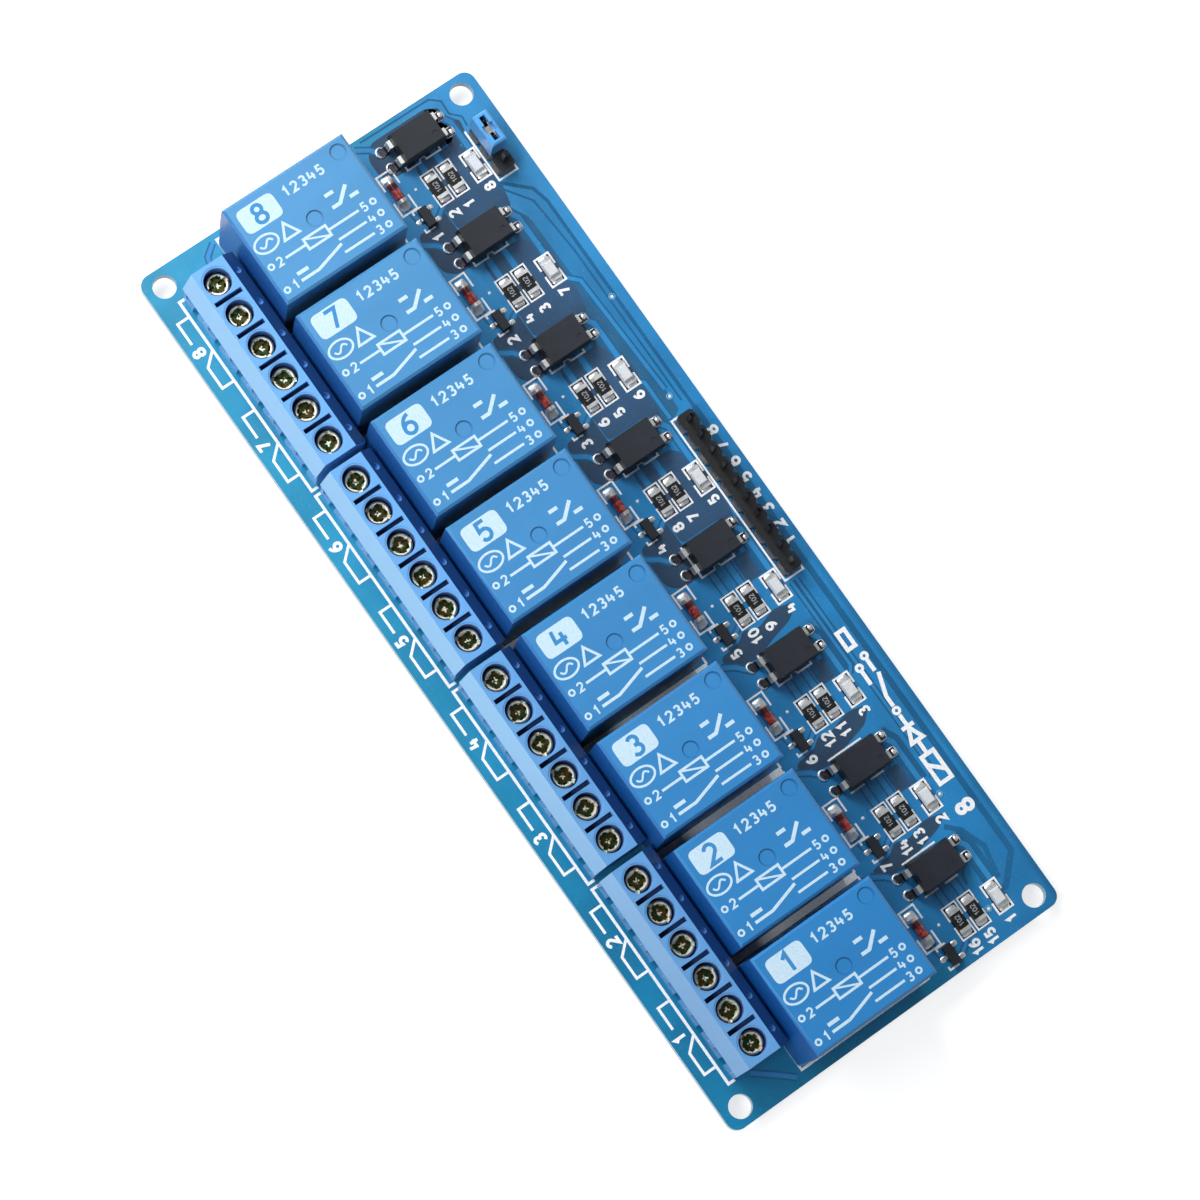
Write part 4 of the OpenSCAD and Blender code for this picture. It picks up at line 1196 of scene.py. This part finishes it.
class RELAYBOARD_OT_stage(bpy.types.Operator):
    """Camera, white floor and soft light"""

    bl_idname = "relay_board.stage"
    bl_label = "Stage"

    position = (45.58, -99.13, 511.69)
    target = (1.15, -0.55, 1.6)
    roll = 55.63
    # Name, place, size and share of the power of each lamp
    lamps = (
        ("side_lamp", (-300.0, -30.0, 340.0), 190.0, 0.76),
        ("top_lamp", (-150.0, -230.0, 470.0), 200.0, 0.48),
        ("front_lamp", (44.0, -330.0, 400.0), 120.0, 0.44),
    )

    def execute(self, context):
        camera = add("camera", bpy.data.cameras.new("camera"))
        at = Vector(self.position) * MM
        forward = (Vector(self.target) * MM - at).normalized()
        right = forward.cross(Vector((0, 1, 0))).normalized()
        level = Matrix((right, right.cross(forward), -forward)).transposed()
        turn = level @ Matrix.Rotation(math.radians(self.roll), 3, "Z")
        camera.matrix_world = Matrix.Translation(at) @ turn.to_4x4()
        camera.data.lens = sizes().lens
        camera.data.sensor_width = 36.0
        camera.data.clip_start = 0.01
        camera.data.clip_end = 10.0
        context.scene.camera = camera

        for name, place, size, share in self.lamps:
            lamp = add(name, bpy.data.lights.new(name, "AREA"))
            lamp.data.shape = "SQUARE"
            lamp.data.size = size * MM
            lamp.data.energy = sizes().lamp_power * share
            lamp.location = Vector(place) * MM
            lamp.rotation_euler = (-lamp.location).to_track_quat("-Z", "Y").to_euler()

        low = min(span("terminal_contacts_1")[0][2], span("input_header_pins")[0][2])
        floor = Shell(low - 5, low)
        floor.plate(rectangle(-1500, -1500, 1500, 1500))
        ground = floor.build("floor", self.floor_white())

        context.scene.world = self.studio_world()
        context.scene.view_settings.view_transform = "Standard"
        return {"FINISHED"}

    def studio_world(self):
        """Pale walls and a dim ceiling: strength falls from the horizon up to the zenith."""
        world = bpy.data.worlds.new("studio")
        world.use_nodes = True
        net = Net("studio", world.node_tree)
        up = net.node("SeparateXYZ", inputs={0: net.node("TexCoord", output="Generated")}, output="Z")
        wall = 0.4 + net.node("LightPath", output="Is Glossy Ray") * 0.6
        wall = wall * (1 - net.mask(up, 0.05, 0.7) * 0.8)
        seen = net.node("LightPath", output="Is Camera Ray")
        tone = net.mix(seen, (0.93, 0.97, 1.0), WHITE)
        ends = {"Color": tone, "Strength": net.maths("MAXIMUM", wall, seen)}
        net.node("OutputWorld", inputs={"Surface": net.node("Background", inputs=ends)})
        return world

    def floor_white(self):
        """White card: it takes the shadow, and looks white to the camera and in reflections."""
        net = Net("floor_white")
        tone = net.mix(net.noise(40, 2) * 0.04, (0.5, 0.5, 0.5), (0.46, 0.46, 0.46))
        card = net.node("BsdfPrincipled", inputs={"Base Color": tone, "Roughness": 0.55})
        seen = net.node("LightPath", output="Is Camera Ray")
        glossy = net.node("LightPath", output="Is Glossy Ray")
        glow = {"Color": (*WHITE, 1), "Strength": net.maths("MAXIMUM", seen, glossy) * 0.72}
        both = net.node("AddShader", inputs={0: card, 1: net.node("Emission", inputs=glow)})
        net.node("OutputMaterial", inputs={"Surface": both})
        return net.material


STEPS = (
    RELAYBOARD_OT_stage,
    RELAYBOARD_OT_board,
    RELAYBOARD_OT_tracks,
    RELAYBOARD_OT_print,
    RELAYBOARD_OT_relays,
    RELAYBOARD_OT_relay_print,
    RELAYBOARD_OT_terminals,
    RELAYBOARD_OT_drivers,
    RELAYBOARD_OT_solder,
    RELAYBOARD_OT_underside,
    RELAYBOARD_OT_headers,
)


class RELAYBOARD_PT_panel(bpy.types.Panel):
    """Sizes, colours and the steps that finish the board"""

    bl_idname = "RELAYBOARD_PT_panel"
    bl_label = "Relay board"
    bl_space_type = "VIEW_3D"
    bl_region_type = "UI"
    bl_category = "Relay board"

    def draw(self, context):
        layout = self.layout
        for group in (context.scene.relay_board_sizes, context.scene.relay_board_colours):
            for name in group.__annotations__:
                layout.prop(group, name)
        for step in STEPS:
            layout.operator(step.bl_idname)


CLASSES = (RelayBoardSizes, RelayBoardColours, *STEPS, RELAYBOARD_PT_panel)


def register():
    """Registers the classes and the scene's settings."""
    for made in CLASSES:
        bpy.utils.register_class(made)
    bpy.types.Scene.relay_board_sizes = bpy.props.PointerProperty(type=RelayBoardSizes)
    bpy.types.Scene.relay_board_colours = bpy.props.PointerProperty(type=RelayBoardColours)


def unregister():
    """Takes back what register did."""
    del bpy.types.Scene.relay_board_colours
    del bpy.types.Scene.relay_board_sizes
    for made in reversed(CLASSES):
        bpy.utils.unregister_class(made)


def main():
    register()
    bpy.ops.relay_board.stage()
    bpy.ops.relay_board.board()
    bpy.ops.relay_board.tracks()
    bpy.ops.relay_board.print()
    bpy.ops.relay_board.relays()
    bpy.ops.relay_board.relay_print()
    bpy.ops.relay_board.terminals()
    bpy.ops.relay_board.drivers()
    bpy.ops.relay_board.solder()
    bpy.ops.relay_board.underside()
    bpy.ops.relay_board.headers()


if __name__ == "__main__":
    main()
